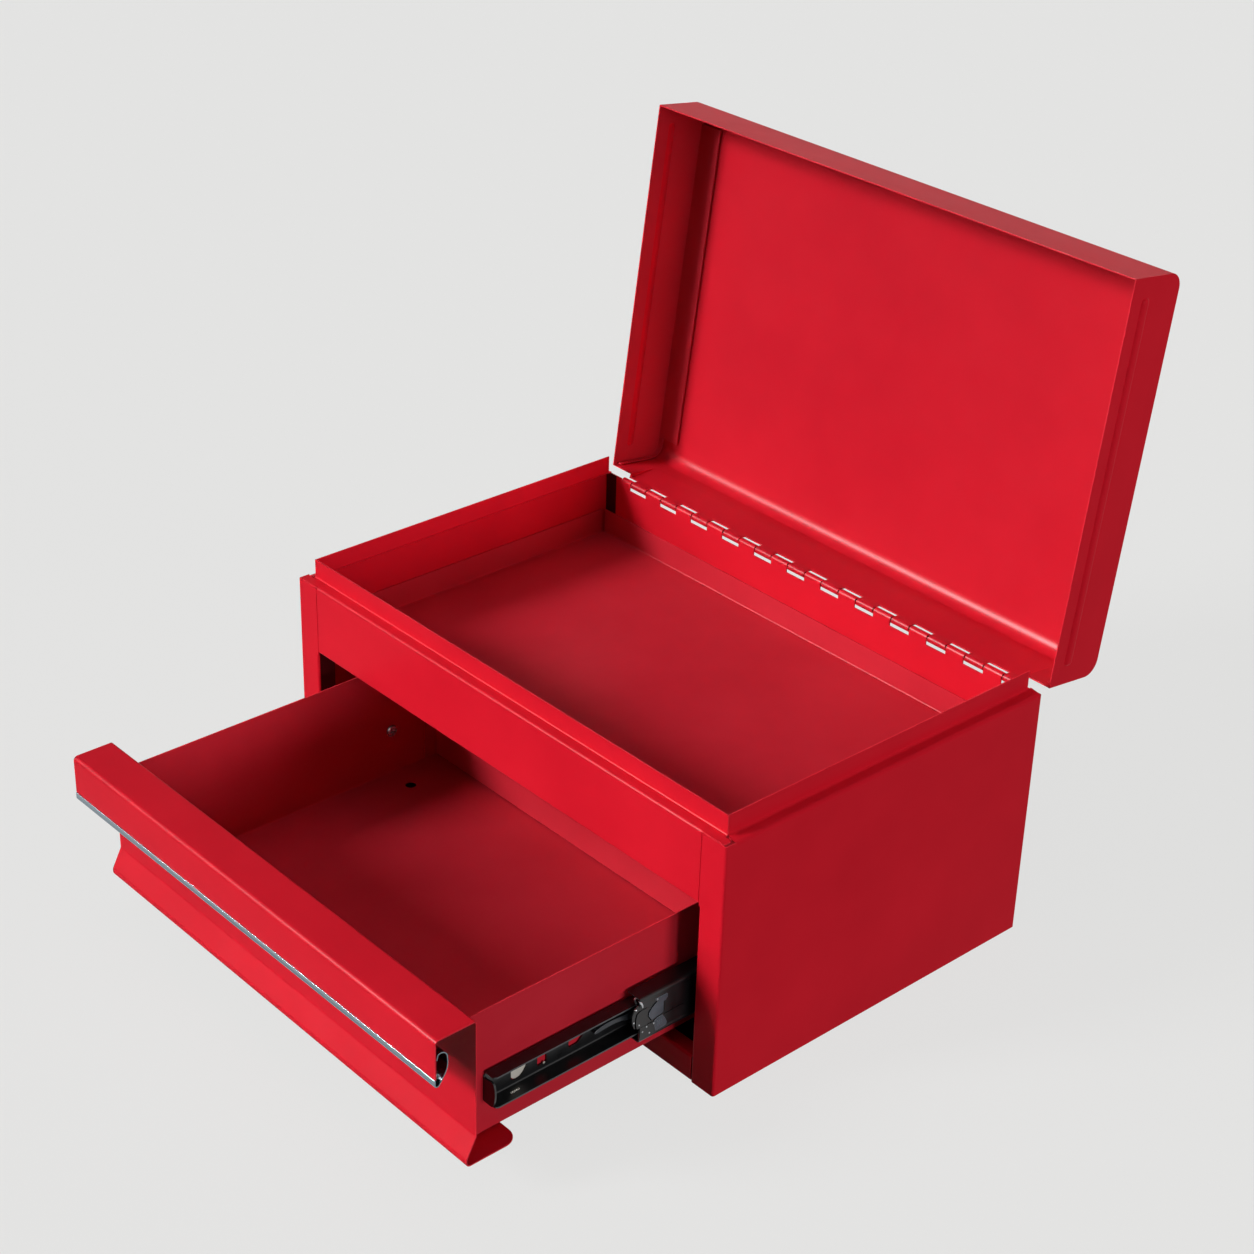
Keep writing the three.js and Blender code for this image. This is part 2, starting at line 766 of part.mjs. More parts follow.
// Outer rail and the bracket that carries it on the side panel.
placePair(chest, 'slide_outer_rail', solid(alongY(
  channelOutline(outerX + railSteel, outerX + railSteel - outerLip, outerHeight, railSteel, 1.4),
  slideFront,
  slideRearEnd,
)), blackZinc);
const bracketWall = halfWidth - sheet - seamGap;
const bracketWeb = bracketX + sheet;
const bracketLow = slideLevel - bracketHeight / 2;
const bracketHigh = slideLevel + bracketHeight / 2;
const bracketProfile = foldOutline(
  [
    [bracketWall, bracketLow - bracketLip],
    [bracketWall, bracketLow],
    [bracketWeb, bracketLow],
    [bracketWeb, bracketHigh],
    [bracketWall, bracketHigh],
    [bracketWall, bracketHigh + bracketLip],
  ],
  sheet,
  bendInside,
);
placePair(chest, 'slide_bracket',
  solid(alongY(bracketProfile, slideFront + 2, slideRearEnd)), enamelRedDeep);

// Ball cages: a folded retainer with its balls held in the two edges.
function ballCage(web, tip, innerHalf, outerHalf, start) {
  const level = (innerHalf + outerHalf) / 2;
  const radius = (outerHalf - innerHalf) / 2 - ballClearance;
  const low = slideLevel - level - cageSteel / 2;
  const high = slideLevel + level + cageSteel / 2;
  const profile = foldOutline(
    [[tip, high], [web + cageSteel, high], [web + cageSteel, low], [tip, low]],
    -cageSteel,
    0.6,
  );
  let cage = solid(alongY(profile, start, start + cageLength));
  for (let k = 0; k < cageBalls; k += 1) {
    const y = start + cageLength * (k + 0.5) / cageBalls;
    for (const side of [-1, 1]) {
      const ball = new THREE.SphereGeometry(radius, 8, 5);
      ball.translate((web + tip) / 2 - 0.4, y, slideLevel + side * level);
      cage = cage.add(solid(ball));
    }
  }
  return cage;
}
const innerCageStart = slideFront + slideLength * innerCagePlace;
const outerCageStart = slideFront + slideLength * outerCagePlace;
placePair(innerCages, 'ball_cage_inner', ballCage(
  innerCageX,
  innerCageX - 5.6,
  runnerHeight / 2,
  middleHeight / 2 - railSteel,
  innerCageStart,
), bearingSteel);
placePair(outerCages, 'ball_cage_outer', ballCage(
  outerCageX,
  outerCageX - 5.2,
  middleHeight / 2,
  outerHeight / 2 - railSteel,
  outerCageStart,
), bearingSteel);

// Rest position: the drawer pulled out, the rails and cages following it.
drawer.position.y = -drawerOut;
middleRails.position.y = -drawerOut * middleShare;
innerCages.position.y = -drawerOut * (1 + middleShare) / 2;
outerCages.position.y = -drawerOut * middleShare / 2;

export default chest;
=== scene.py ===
import bpy
import bmesh
import math
from mathutils import Matrix, Vector


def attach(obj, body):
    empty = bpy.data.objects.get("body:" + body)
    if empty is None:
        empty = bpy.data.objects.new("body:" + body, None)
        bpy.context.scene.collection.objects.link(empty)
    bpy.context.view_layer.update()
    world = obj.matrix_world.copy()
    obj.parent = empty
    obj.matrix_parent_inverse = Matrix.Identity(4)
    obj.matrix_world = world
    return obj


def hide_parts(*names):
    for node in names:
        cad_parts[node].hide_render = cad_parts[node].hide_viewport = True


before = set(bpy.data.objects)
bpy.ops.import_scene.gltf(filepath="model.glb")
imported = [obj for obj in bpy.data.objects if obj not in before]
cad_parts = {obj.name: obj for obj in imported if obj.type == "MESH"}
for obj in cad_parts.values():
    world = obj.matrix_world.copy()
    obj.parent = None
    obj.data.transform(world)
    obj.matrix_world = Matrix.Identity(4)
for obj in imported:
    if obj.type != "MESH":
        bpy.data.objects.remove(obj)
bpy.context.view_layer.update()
mm = 0.001
sheetSteel = 1.0  # mm, the sheets of the case, the lid and the drawer
foldInside = 1.2  # mm, inside radius of a plain fold
nearby = 0.02  # mm, how near a corner lies to the place that a test asks for
pastTop = 230.0  # mm, above the case, where a cutter can end
print("frame loaded:", len(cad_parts), "nodes")


cameraView = {
    "place": (1.18128, -1.11032, 1.10688),
    "turn": (60.951, -1.545, 48.449),  # degrees
    "lens": 72.76,
    "sensor": 36.0,
    "near": 0.05,
    "far": 60.0,
}


def addCamera(values):
    bpy.ops.object.camera_add(
        location=values["place"],
        rotation=[math.radians(angle) for angle in values["turn"]],
    )
    camera = bpy.context.object
    camera.name = "studioCamera"
    camera.data.lens = values["lens"]
    camera.data.sensor_width = values["sensor"]
    camera.data.clip_start = values["near"]
    camera.data.clip_end = values["far"]
    bpy.context.scene.camera = camera
    bpy.context.scene.view_settings.view_transform = "Standard"


addCamera(cameraView)
print("camera placed")


def hexToLinear(code):
    linear = []
    for start in (0, 2, 4):
        channel = int(code[start:start + 2], 16) / 255
        if channel <= 0.04045:
            linear.append(channel / 12.92)
        else:
            linear.append(((channel + 0.055) / 1.055) ** 2.4)
    return (*linear, 1.0)


def addNode(material, kind, settings=None, links=None):
    # a setting is a property of the node where it has one of that name, and a socket otherwise
    node = material.node_tree.nodes.new(kind)
    for name, value in (settings or {}).items():
        if isinstance(name, str) and hasattr(node, name):
            setattr(node, name, value)
        else:
            node.inputs[name].default_value = value
    for name, source in (links or {}).items():
        material.node_tree.links.new(source, node.inputs[name])
    return node


def newMaterial(name):
    material = bpy.data.materials.new(name)
    material.use_nodes = True
    material.node_tree.nodes.clear()
    return material


def setRamp(node, stops):
    ramp = node.color_ramp
    while len(ramp.elements) > 1:
        ramp.elements.remove(ramp.elements[0])
    ramp.elements[0].position = stops[0][0]
    ramp.elements[0].color = stops[0][1]
    for position, colour in stops[1:]:
        ramp.elements.new(position).color = colour


# Polyester powder coat on cold-rolled steel: sprayed and baked, so it lies in a thick even skin
# with a fine orange peel, a semi-gloss sheen and no brush marks.
powderCoat = {
    "peel": 3.6,  # mm between the swells of the orange peel, coarser than the real 1.5 so that it shows
    "cloud": 95.0,  # mm, slow drift of the tone over a panel
    "smear": 22.0,  # mm, patches that took more or less gloss in the oven
    "glossDrift": 0.02,  # how far the roughness wanders to either side
    "sheen": 0.022,  # specular level, low because the coat mirrors little of what stands round it
    "peelHeight": 0.02,  # mm
}


def makePowderCoat(name, deep, plain, light, roughness):
    material = newMaterial(name)
    coordinate = addNode(material, "ShaderNodeTexCoord")
    place = coordinate.outputs["Object"]
    cloud = addNode(material, "ShaderNodeTexNoise", {
        "Scale": 1 / (powderCoat["cloud"] * mm), "Detail": 3.0, "Roughness": 0.55,
    }, {"Vector": place})
    tone = addNode(material, "ShaderNodeValToRGB", links={"Fac": cloud.outputs["Fac"]})
    setRamp(tone, [(0.25, hexToLinear(deep)), (0.5, hexToLinear(plain)), (0.78, hexToLinear(light))])
    smear = addNode(material, "ShaderNodeTexNoise", {
        "Scale": 1 / (powderCoat["smear"] * mm), "Detail": 4.0, "Roughness": 0.6,
    }, {"Vector": place})
    gloss = addNode(material, "ShaderNodeMapRange", {
        "From Min": 0.3, "From Max": 0.7,
        "To Min": roughness - powderCoat["glossDrift"], "To Max": roughness + powderCoat["glossDrift"],
    }, {"Value": smear.outputs["Fac"]})
    peel = addNode(material, "ShaderNodeTexNoise", {
        "Scale": 1 / (powderCoat["peel"] * mm), "Detail": 0.0,
    }, {"Vector": place})
    skin = addNode(material, "ShaderNodeBump", {
        "Strength": 0.12, "Distance": powderCoat["peelHeight"] * mm,
    }, {"Height": peel.outputs["Fac"]})
    shader = addNode(material, "ShaderNodeBsdfPrincipled", {
        "IOR": 1.5, "Specular IOR Level": powderCoat["sheen"],
    }, {
        "Base Color": tone.outputs["Color"],
        "Roughness": gloss.outputs["Result"],
        "Normal": skin.outputs["Normal"],
    })
    addNode(material, "ShaderNodeOutputMaterial", links={"Surface": shader.outputs["BSDF"]})
    return material


# the outside; a duller copy, painted shade, for the drawer, the tray, the brackets and the caps' inner faces;
# a darker copy, painted shade, for the inside of the lid; a near-black painted shade deep inside the case;
# and a lighter, glossier painted highlight on a sheared edge
redEnamel = makePowderCoat("powderCoatRed", "C91627", "CF1829", "D61B2C", 0.3)
redEnamelShadeTone = makePowderCoat("powderCoatRedShadeTone", "BB2331", "C22735", "C92B39", 0.34)
redLidPaintedShade = makePowderCoat("powderCoatLidInsidePaintedShade", "BC1526", "C21828", "C81B2B", 0.3)
# near-black painted shade for the insides of the case, where the shadow lies deep
redPaintedDeepShade = makePowderCoat("powderCoatPaintedDeepShade", "3A0A0E", "460C11", "520E14", 0.5)
# lighter, glossier red for the sheared edges, a painted highlight
redEdgePaintedHighlight = makePowderCoat("powderCoatEdgePaintedHighlight", "D02331", "D82E3B", "DE3A46", 0.22)


# Extruded aluminium strip, polished and clear anodised: bright, with fine lines along its length.
def makeTrimAluminium():
    material = newMaterial("polishedAluminiumTrim")
    coordinate = addNode(material, "ShaderNodeTexCoord")
    # lines about 2.4 mm apart and 500 mm long, coarser than the real ones so that they show
    stretch = addNode(material, "ShaderNodeMapping", {"Scale": (2.0, 420.0, 420.0)},
                      {"Vector": coordinate.outputs["Object"]})
    lines = addNode(material, "ShaderNodeTexNoise", {"Scale": 1.0, "Detail": 3.0},
                    {"Vector": stretch.outputs["Vector"]})
    tone = addNode(material, "ShaderNodeValToRGB", links={"Fac": lines.outputs["Fac"]})
    setRamp(tone, [(0.2, hexToLinear("5E6C75")), (0.8, hexToLinear("8A979F"))])
    gloss = addNode(material, "ShaderNodeMapRange", {"To Min": 0.2, "To Max": 0.27},
                    {"Value": lines.outputs["Fac"]})
    skin = addNode(material, "ShaderNodeBump", {"Strength": 0.12, "Distance": 0.00001},
                   {"Height": lines.outputs["Fac"]})
    shader = addNode(material, "ShaderNodeBsdfPrincipled", {"Metallic": 1.0}, {
        "Base Color": tone.outputs["Color"],
        "Roughness": gloss.outputs["Result"],
        "Normal": skin.outputs["Normal"],
    })
    addNode(material, "ShaderNodeOutputMaterial", links={"Surface": shader.outputs["BSDF"]})
    return material


# Roll-formed steel with a black electro-coat: thin, so that it shows the mill lines; a lighter grey copy on
# its edges is a painted highlight. The moulded nylon and acetal parts share its fine lines, in their own
# colours.
def makeSlideBlack(name, deep, light, roughness):
    material = newMaterial(name)
    coordinate = addNode(material, "ShaderNodeTexCoord")
    # lines about 2 mm apart and 80 mm long, coarser than the real ones so that they show
    stretch = addNode(material, "ShaderNodeMapping", {"Scale": (500.0, 12.0, 500.0)},
                      {"Vector": coordinate.outputs["Object"]})
    lines = addNode(material, "ShaderNodeTexNoise", {"Scale": 1.0, "Detail": 3.0},
                    {"Vector": stretch.outputs["Vector"]})
    blot = addNode(material, "ShaderNodeTexNoise", {"Scale": 1 / (9 * mm), "Detail": 4.0},
                   {"Vector": coordinate.outputs["Object"]})
    tone = addNode(material, "ShaderNodeValToRGB", links={"Fac": blot.outputs["Fac"]})
    setRamp(tone, [(0.35, hexToLinear(deep)), (0.75, hexToLinear(light))])
    gloss = addNode(material, "ShaderNodeMapRange", {
        "To Min": roughness - 0.08, "To Max": roughness + 0.1,
    }, {"Value": blot.outputs["Fac"]})
    skin = addNode(material, "ShaderNodeBump", {"Strength": 0.3, "Distance": 0.00002},
                   {"Height": lines.outputs["Fac"]})
    shader = addNode(material, "ShaderNodeBsdfPrincipled", {"IOR": 1.5}, {
        "Base Color": tone.outputs["Color"],
        "Roughness": gloss.outputs["Result"],
        "Normal": skin.outputs["Normal"],
    })
    addNode(material, "ShaderNodeOutputMaterial", links={"Surface": shader.outputs["BSDF"]})
    return material


# Drawn steel with bright zinc: cool grey, with a faint spangle.
def makeBrightSteel(name, deep, light, roughness):
    material = newMaterial(name)
    coordinate = addNode(material, "ShaderNodeTexCoord")
    spangle = addNode(material, "ShaderNodeTexVoronoi", {"Scale": 1 / (2.2 * mm)},
                      {"Vector": coordinate.outputs["Object"]})
    tone = addNode(material, "ShaderNodeValToRGB", links={"Fac": spangle.outputs["Distance"]})
    setRamp(tone, [(0.1, hexToLinear(deep)), (0.9, hexToLinear(light))])
    gloss = addNode(material, "ShaderNodeMapRange", {
        "To Min": roughness - 0.05, "To Max": roughness + 0.08,
    }, {"Value": spangle.outputs["Distance"]})
    shader = addNode(material, "ShaderNodeBsdfPrincipled", {"Metallic": 1.0}, {
        "Base Color": tone.outputs["Color"],
        "Roughness": gloss.outputs["Result"],
    })
    addNode(material, "ShaderNodeOutputMaterial", links={"Surface": shader.outputs["BSDF"]})
    return material


trimAluminium = makeTrimAluminium()
slideBlack = makeSlideBlack("blackElectroCoatSteel", "08080A", "111214", 0.3)
# a lighter grey for the slides' edges, a painted highlight
slideEdgePaintedHighlight = makeSlideBlack("blackEdgePaintedHighlight", "2A2C2F", "44464A", 0.3)
leverPlastic = makeSlideBlack("mouldedBlackNylon", "24262C", "30333A", 0.34)
paleAcetal = makeSlideBlack("naturalAcetalPlastic", "C2BCB2", "CEC9C0", 0.4)
catchPlastic = makeSlideBlack("mouldedGreyNylon", "3C414B", "50555F", 0.32)
# a lighter grey for the catch's rim, a painted highlight
catchRimPaintedHighlight = makeSlideBlack("mouldedGreyNylonRimPaintedHighlight", "7C828C", "8E949E", 0.28)
brightSteel = makeBrightSteel("brightZincSteel", "A4A8AC", "C6C9CC", 0.3)
bearingSteel = makeBrightSteel("bearingSteel", "B8BBBE", "D4D6D8", 0.14)
print("materials made")


def deselectAll():
    bpy.ops.object.select_all(action="DESELECT")


def makeActive(piece):
    deselectAll()
    piece.select_set(True)
    bpy.context.view_layer.objects.active = piece


def editMode(select="EDGE"):
    bpy.ops.object.mode_set(mode="EDIT")
    bpy.ops.mesh.select_mode(type=select)


def objectMode():
    bpy.ops.object.mode_set(mode="OBJECT")


def applyPlace():
    bpy.ops.object.transform_apply(location=True, rotation=True, scale=True)


def pullOut(offset):
    bpy.ops.mesh.extrude_region_move(TRANSFORM_OT_translate={"value": offset})


def turnOutwards():
    bpy.ops.mesh.select_all(action="SELECT")
    bpy.ops.mesh.normals_make_consistent(inside=False)


def pick(kind, test):
    # test gets a point in millimetres, and every corner of the edge or face has to pass
    bpy.ops.mesh.select_all(action="DESELECT")
    shape = bmesh.from_edit_mesh(bpy.context.object.data)
    for item in getattr(shape, kind):
        corners = [item] if kind == "verts" else item.verts
        if all(test(corner.co / mm) for corner in corners):
            item.select_set(True)
    bmesh.update_edit_mesh(bpy.context.object.data)


def applyModifier(piece, kind, **settings):
    makeActive(piece)
    modifier = piece.modifiers.new("step", kind)
    for name, value in settings.items():
        setattr(modifier, name, value)
    bpy.ops.object.modifier_apply(modifier=modifier.name)


def spacePoint(axis, across, up, along):
    # a sheet folded along X has its outline in Y and Z, one along Y in X and Z, one along Z in X and Y
    order = {"X": (along, across, up), "Y": (across, along, up), "Z": (across, up, along)}
    return Vector(order[axis]) * mm


def outlinePoint(axis, place):
    return {"X": (place.y, place.z), "Y": (place.x, place.z), "Z": (place.x, place.y)}[axis]


def atPoint(axis, target):
    def test(place):
        here = outlinePoint(axis, place)
        return abs(here[0] - target[0]) < nearby and abs(here[1] - target[1]) < nearby

    return test


def foldSheet(name, axis, span, path, thickness, inside, steps=5):
    # first leg as a flat panel, the next legs pulled from its edge, then each fold rounded;
    # the steel lies to the left of the path, or to its right where the thickness is negative
    radii = inside if isinstance(inside, (list, tuple)) else [inside] * (len(path) - 2)
    (u0, v0), (u1, v1) = path[0], path[1]
    lean = math.atan2(v1 - v0, u1 - u0)
    length = math.hypot(u1 - u0, v1 - v0) * mm
    wide = (span[1] - span[0]) * mm
    deselectAll()
    bpy.ops.mesh.primitive_plane_add(
        size=1,
        location=spacePoint(axis, (u0 + u1) / 2, (v0 + v1) / 2, sum(span) / 2),
        rotation={"X": (lean, 0, 0), "Y": (0, -lean, 0), "Z": (math.pi / 2, 0, lean)}[axis],
    )
    sheet = bpy.context.object
    sheet.name = name
    sheet.scale = (wide, length, 1) if axis == "X" else (length, wide, 1)
    applyPlace()
    editMode()
    if len(path) > 2:
        pick("edges", atPoint(axis, path[1]))
        for before, after in zip(path[1:], path[2:]):
            step = spacePoint(axis, after[0] - before[0], after[1] - before[1], 0)
            pullOut(step)
    for number in range(1, len(path) - 1):
        before = Vector(path[number]) - Vector(path[number - 1])
        after = Vector(path[number + 1]) - Vector(path[number])
        turn = math.atan2(before.x * after.y - before.y * after.x, before.dot(after))
        outside = (turn > 0) == (thickness > 0)
        radius = radii[number - 1] + (abs(thickness) if outside else 0)
        if radius <= 0:
            continue
        pick("edges", atPoint(axis, path[number]))
        bpy.ops.mesh.bevel(offset=radius * math.tan(abs(turn) / 2) * mm, offset_type="OFFSET",
                           segments=steps, profile=0.5, affect="EDGES")
    faceSteel(axis, path, thickness)
    objectMode()
    return sheet


def faceSteel(axis, path, thickness):
    # turns the faces to the side on which the steel lies
    turnOutwards()
    shape = bmesh.from_edit_mesh(bpy.context.object.data)
    (u0, v0), (u1, v1) = path[0], path[1]
    middle = Vector(((u0 + u1) / 2, (v0 + v1) / 2))
    left = Vector((v0 - v1, u1 - u0))

    def distance(face):
        return (Vector(outlinePoint(axis, face.calc_center_median() / mm)) - middle).length

    first = min(shape.faces, key=distance)
    facing = Vector(outlinePoint(axis, first.normal)).dot(left)
    if facing * thickness < 0:
        bpy.ops.mesh.flip_normals()


def giveSlots(piece):
    # the first slot is for the faces, the second for the sheared edges, the third for an inner side
    while len(piece.data.materials) < 3:
        piece.data.materials.append(None)


def paintFaces(piece, number, test=lambda place: True):
    makeActive(piece)
    editMode("FACE")
    pick("faces", test)
    piece.active_material_index = number
    bpy.ops.object.material_slot_assign()
    objectMode()


def thicken(sheet, thickness, edge=0.18, inner=0):
    # the side that the steel is turned to takes the inner slot
    giveSlots(sheet)
    paintFaces(sheet, inner)
    applyModifier(sheet, "SOLIDIFY", thickness=thickness * mm, offset=1.0, use_even_offset=True,
                  material_offset_rim=1 - inner, material_offset=-inner)
    if edge:
        breakEdges(sheet, edge)


def breakEdges(piece, width, angle=52.0, segments=2):
    giveSlots(piece)
    applyModifier(piece, "BEVEL", material=1, width=width * mm, segments=segments, limit_method="ANGLE",
                  angle_limit=math.radians(angle), use_clamp_overlap=True, harden_normals=False)


def boolean(piece, other, operation):
    applyModifier(piece, "BOOLEAN", object=other, operation=operation, solver="EXACT")
    bpy.data.objects.remove(other)


def weld(piece, *others):
    for other in others:
        boolean(piece, other, "UNION")
    return piece


def cutAway(piece, *cutters):
    for cutter in cutters:
        boolean(piece, cutter, "DIFFERENCE")
    return piece


def addBlock(low, high):
    low, high = Vector(low) * mm, Vector(high) * mm
    deselectAll()
    bpy.ops.mesh.primitive_cube_add(size=1, location=(low + high) / 2)
    block = bpy.context.object
    block.scale = high - low
    applyPlace()
    return block


def addPlate(axis, outline, low, high, corner=0.0, steps=3):
    # a flat blank cut to an outline, its corners rounded, and pulled to its thickness
    deselectAll()
    bpy.ops.mesh.primitive_circle_add(vertices=len(outline), fill_type="NGON")
    plate = bpy.context.object
    for point, place in zip(plate.data.vertices, outline):
        point.co = spacePoint(axis, place[0], place[1], low)
    editMode("VERT")
    bpy.ops.mesh.select_all(action="SELECT")
    if corner:
        bpy.ops.mesh.bevel(offset=corner * mm, segments=steps, affect="VERTICES")
    bpy.ops.mesh.select_mode(type="FACE")
    bpy.ops.mesh.select_all(action="SELECT")
    pullOut(spacePoint(axis, 0, 0, high - low))
    turnOutwards()
    objectMode()
    return plate


def addPunch(axis, middle, width, height, radius, depth, steps=5):
    # a punch with rounded corners; of the two axes left, width goes along the first and height along
    # the second
    deselectAll()
    turn = {"X": (math.pi / 2, 0, math.pi / 2), "Y": (math.pi / 2, 0, 0), "Z": (0, 0, 0)}[axis]
    bpy.ops.mesh.primitive_cube_add(size=1, location=Vector(middle) * mm, rotation=turn)
    punch = bpy.context.object
    punch.scale = (width * mm, height * mm, depth * mm)
    applyPlace()
    editMode()
    number = "XYZ".index(axis)

    def standing(edge):
        ends = [corner.co / mm for corner in edge.verts]
        return abs(ends[0][number] - ends[1][number]) > depth / 2

    bpy.ops.mesh.select_all(action="DESELECT")
    shape = bmesh.from_edit_mesh(punch.data)
    for edge in shape.edges:
        edge.select_set(standing(edge))
    bmesh.update_edit_mesh(punch.data)
    bpy.ops.mesh.bevel(offset=radius * mm, segments=steps, affect="EDGES")
    objectMode()
    return punch


def addRod(axis, middle, radius, depth, sides=32):
    deselectAll()
    turn = {"X": (0, math.pi / 2, 0), "Y": (math.pi / 2, 0, 0), "Z": (0, 0, 0)}[axis]
    bpy.ops.mesh.primitive_cylinder_add(vertices=sides, radius=radius * mm, depth=depth * mm,
                                        location=Vector(middle) * mm, rotation=turn)
    rod = bpy.context.object
    applyPlace()
    return rod


def movePiece(piece, offset):
    makeActive(piece)
    piece.location = Vector(offset) * mm
    applyPlace()


def copyPiece(piece, name):
    makeActive(piece)
    bpy.ops.object.duplicate(linked=False)
    twin = bpy.context.object
    twin.name = name
    return twin


def mirrorCopy(piece, name):
    # the left hand of a pair, with its faces turned out again
    twin = copyPiece(piece, name)
    twin.scale = (-1, 1, 1)
    applyPlace()
    editMode("FACE")
    turnOutwards()
    objectMode()
    return twin


# each finish gives the faces, the sheared edges and the side that a sheet turns inwards; a lighter colour on
# the edges is a painted highlight, and the duller and darker reds are painted shade
finishes = {
    "case": (redEnamel, redEdgePaintedHighlight, redPaintedDeepShade),
    "tray": (redPaintedDeepShade, redEnamelShadeTone, redEnamelShadeTone),
    "drawer": (redEnamelShadeTone, redEdgePaintedHighlight, redEnamelShadeTone),
    "front": (redEnamel, redEdgePaintedHighlight, redEnamel),
    "lid": (redEnamel, redEdgePaintedHighlight, redLidPaintedShade),
    "cap": (redEnamel, redEdgePaintedHighlight, redEnamelShadeTone),
    "bracket": (redEnamelShadeTone, redEnamelShadeTone, redEnamelShadeTone),
    "trim": (trimAluminium, trimAluminium, trimAluminium),
    "slide": (slideBlack, slideEdgePaintedHighlight, slideBlack),
    "lever": (leverPlastic, leverPlastic, leverPlastic),
    "catch": (catchPlastic, catchRimPaintedHighlight, catchPlastic),
    "stop": (paleAcetal, paleAcetal, paleAcetal),
    "zinc": (brightSteel, brightSteel, brightSteel),
    "pin": (slideBlack, slideBlack, slideBlack),
    "ball": (bearingSteel, bearingSteel, bearingSteel),
}


def finishPiece(piece, finish, body, nodes, smooth=34.0):
    makeActive(piece)
    bpy.ops.object.shade_smooth_by_angle(angle=math.radians(smooth))
    applyModifier(piece, "WEIGHTED_NORMAL", mode="FACE_AREA", keep_sharp=True)
    giveSlots(piece)
    for number, material in enumerate(finishes[finish]):
        piece.data.materials[number] = material
    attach(piece, body)
    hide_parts(*nodes)
    return piece


def finishPair(piece, name, finish, body, node=None, offset=0.0, smooth=34.0):
    # the right hand, moved along Y to where its body stands at rest, and its mirrored twin
    movePiece(piece, (0, offset, 0))
    piece.name = name + "_right"
    left = mirrorCopy(piece, name + "_left")
    for hand, side in ((piece, "right"), (left, "left")):
        rides = body if body in ("drawer", "chest", "lid") else body + "_" + side
        finishPiece(hand, finish, rides, [node + "_" + side] if node else [], smooth)


drawerOut = -182.0  # the drawer stands open

drawerFront = {
    "half": 209.5,
    "pullFace": -187.7,
    "pullFoot": 110.2,
    "pullTop": 140.0,
    "face": -155.0,
    "skirtTop": 49.0,
    "skirtOut": -163.0,
    "skirtKnee": 33.4,
    "under": 28.4,
    "returnRear": -120.0,
    "earRadius": 11.0,
    "bends": [2.4, 1.2, 4.0, 3.0, 2.8],
}


def makeDrawerFront(values):
    front = foldSheet("drawerFrontSheet", "X", (-values["half"], values["half"]), [
        (values["pullFace"], values["pullFoot"]),
        (values["pullFace"], values["pullTop"]),
        (values["face"], values["pullTop"]),
        (values["face"], values["skirtTop"]),
        (values["skirtOut"], values["skirtKnee"]),
        (values["skirtOut"], values["under"]),
        (values["returnRear"], values["under"]),
    ], -sheetSteel, values["bends"], steps=6)
    # the two rear corners of the return are cut round
    editMode("VERT")
    pick("verts", lambda place: abs(place.y - values["returnRear"]) < nearby)
    bpy.ops.mesh.bevel(offset=values["earRadius"] * mm, segments=8, affect="VERTICES")
    objectMode()
    thicken(front, sheetSteel)
    movePiece(front, (0, drawerOut, 0))
    return finishPiece(front, "front", "drawer", ["drawer_front"])


drawerTrim = {
    "half": 209.5,
    "steel": 0.8,
    "edge": 0.12,
    "path": [
        (-186.6, 124.8), (-185.4, 129.9), (-178.0, 129.0), (-177.0, 115.5), (-184.9, 103.6), (-188.1, 104.8),
        (-188.1, 110.0),
    ],
    "bends": [2.0, 4.6, 13.0, 1.1, 0.5],
}


def makeTrim(values):
    trim = foldSheet("aluminiumTrim", "X", (-values["half"], values["half"]), values["path"],
                     -values["steel"], values["bends"], steps=7)
    thicken(trim, values["steel"], edge=values["edge"])
    movePiece(trim, (0, drawerOut, 0))
    return finishPiece(trim, "trim", "drawer", ["drawer_trim"], smooth=50)


drawerBox = {
    "half": 191.5,
    "top": 127.6,
    "floor": 29.6,
    "front": -152.5,
    "rear": 122.2,
    "drain": (-166.0, 78.2),
    "drainRadius": 4.5,
    "screwPlace": (78.5, 68.5),
    "screwHole": 2.3,
}


def makeDrawerBox(values):
    half, floor, top = values["half"], values["floor"], values["top"]
    box = foldSheet("drawerBoxSheet", "Y", (values["front"], values["rear"]),
                    [(-half, top), (-half, floor), (half, floor), (half, top)], sheetSteel, foldInside)
    thicken(box, sheetSteel)
    drain = addRod("Z", (*values["drain"], floor), values["drainRadius"], 6)
    across = addRod("X", (0, *values["screwPlace"]), values["screwHole"], 2 * half + 10)
    cutAway(box, drain, across)
    movePiece(box, (0, drawerOut, 0))
    return finishPiece(box, "drawer", "drawer", ["drawer_box"])


drawerBack = {"half": 190.3, "rear": 122.0, "flange": 12.0, "foot": 31.8, "top": 127.6}


def makeDrawerBack(values):
    half, rear = values["half"], values["rear"]
    back = foldSheet("drawerBackSheet", "Z", (values["foot"], values["top"]), [
        (-half, rear - values["flange"]), (-half, rear), (half, rear), (half, rear - values["flange"]),
    ], -sheetSteel, foldInside)
    thicken(back, sheetSteel)
    movePiece(back, (0, drawerOut, 0))
    return finishPiece(back, "drawer", "drawer", ["drawer_back"])


makeDrawerFront(drawerFront)
makeTrim(drawerTrim)
makeDrawerBox(drawerBox)
makeDrawerBack(drawerBack)
print("drawer made")


trayPan = {
    "half": 233.8, "front": -151.5, "rear": 152.1, "under": 145.4, "flange": 167.0, "lap": 2.2,
    "rearReach": 30.0,
    "edge": 0.16,
}


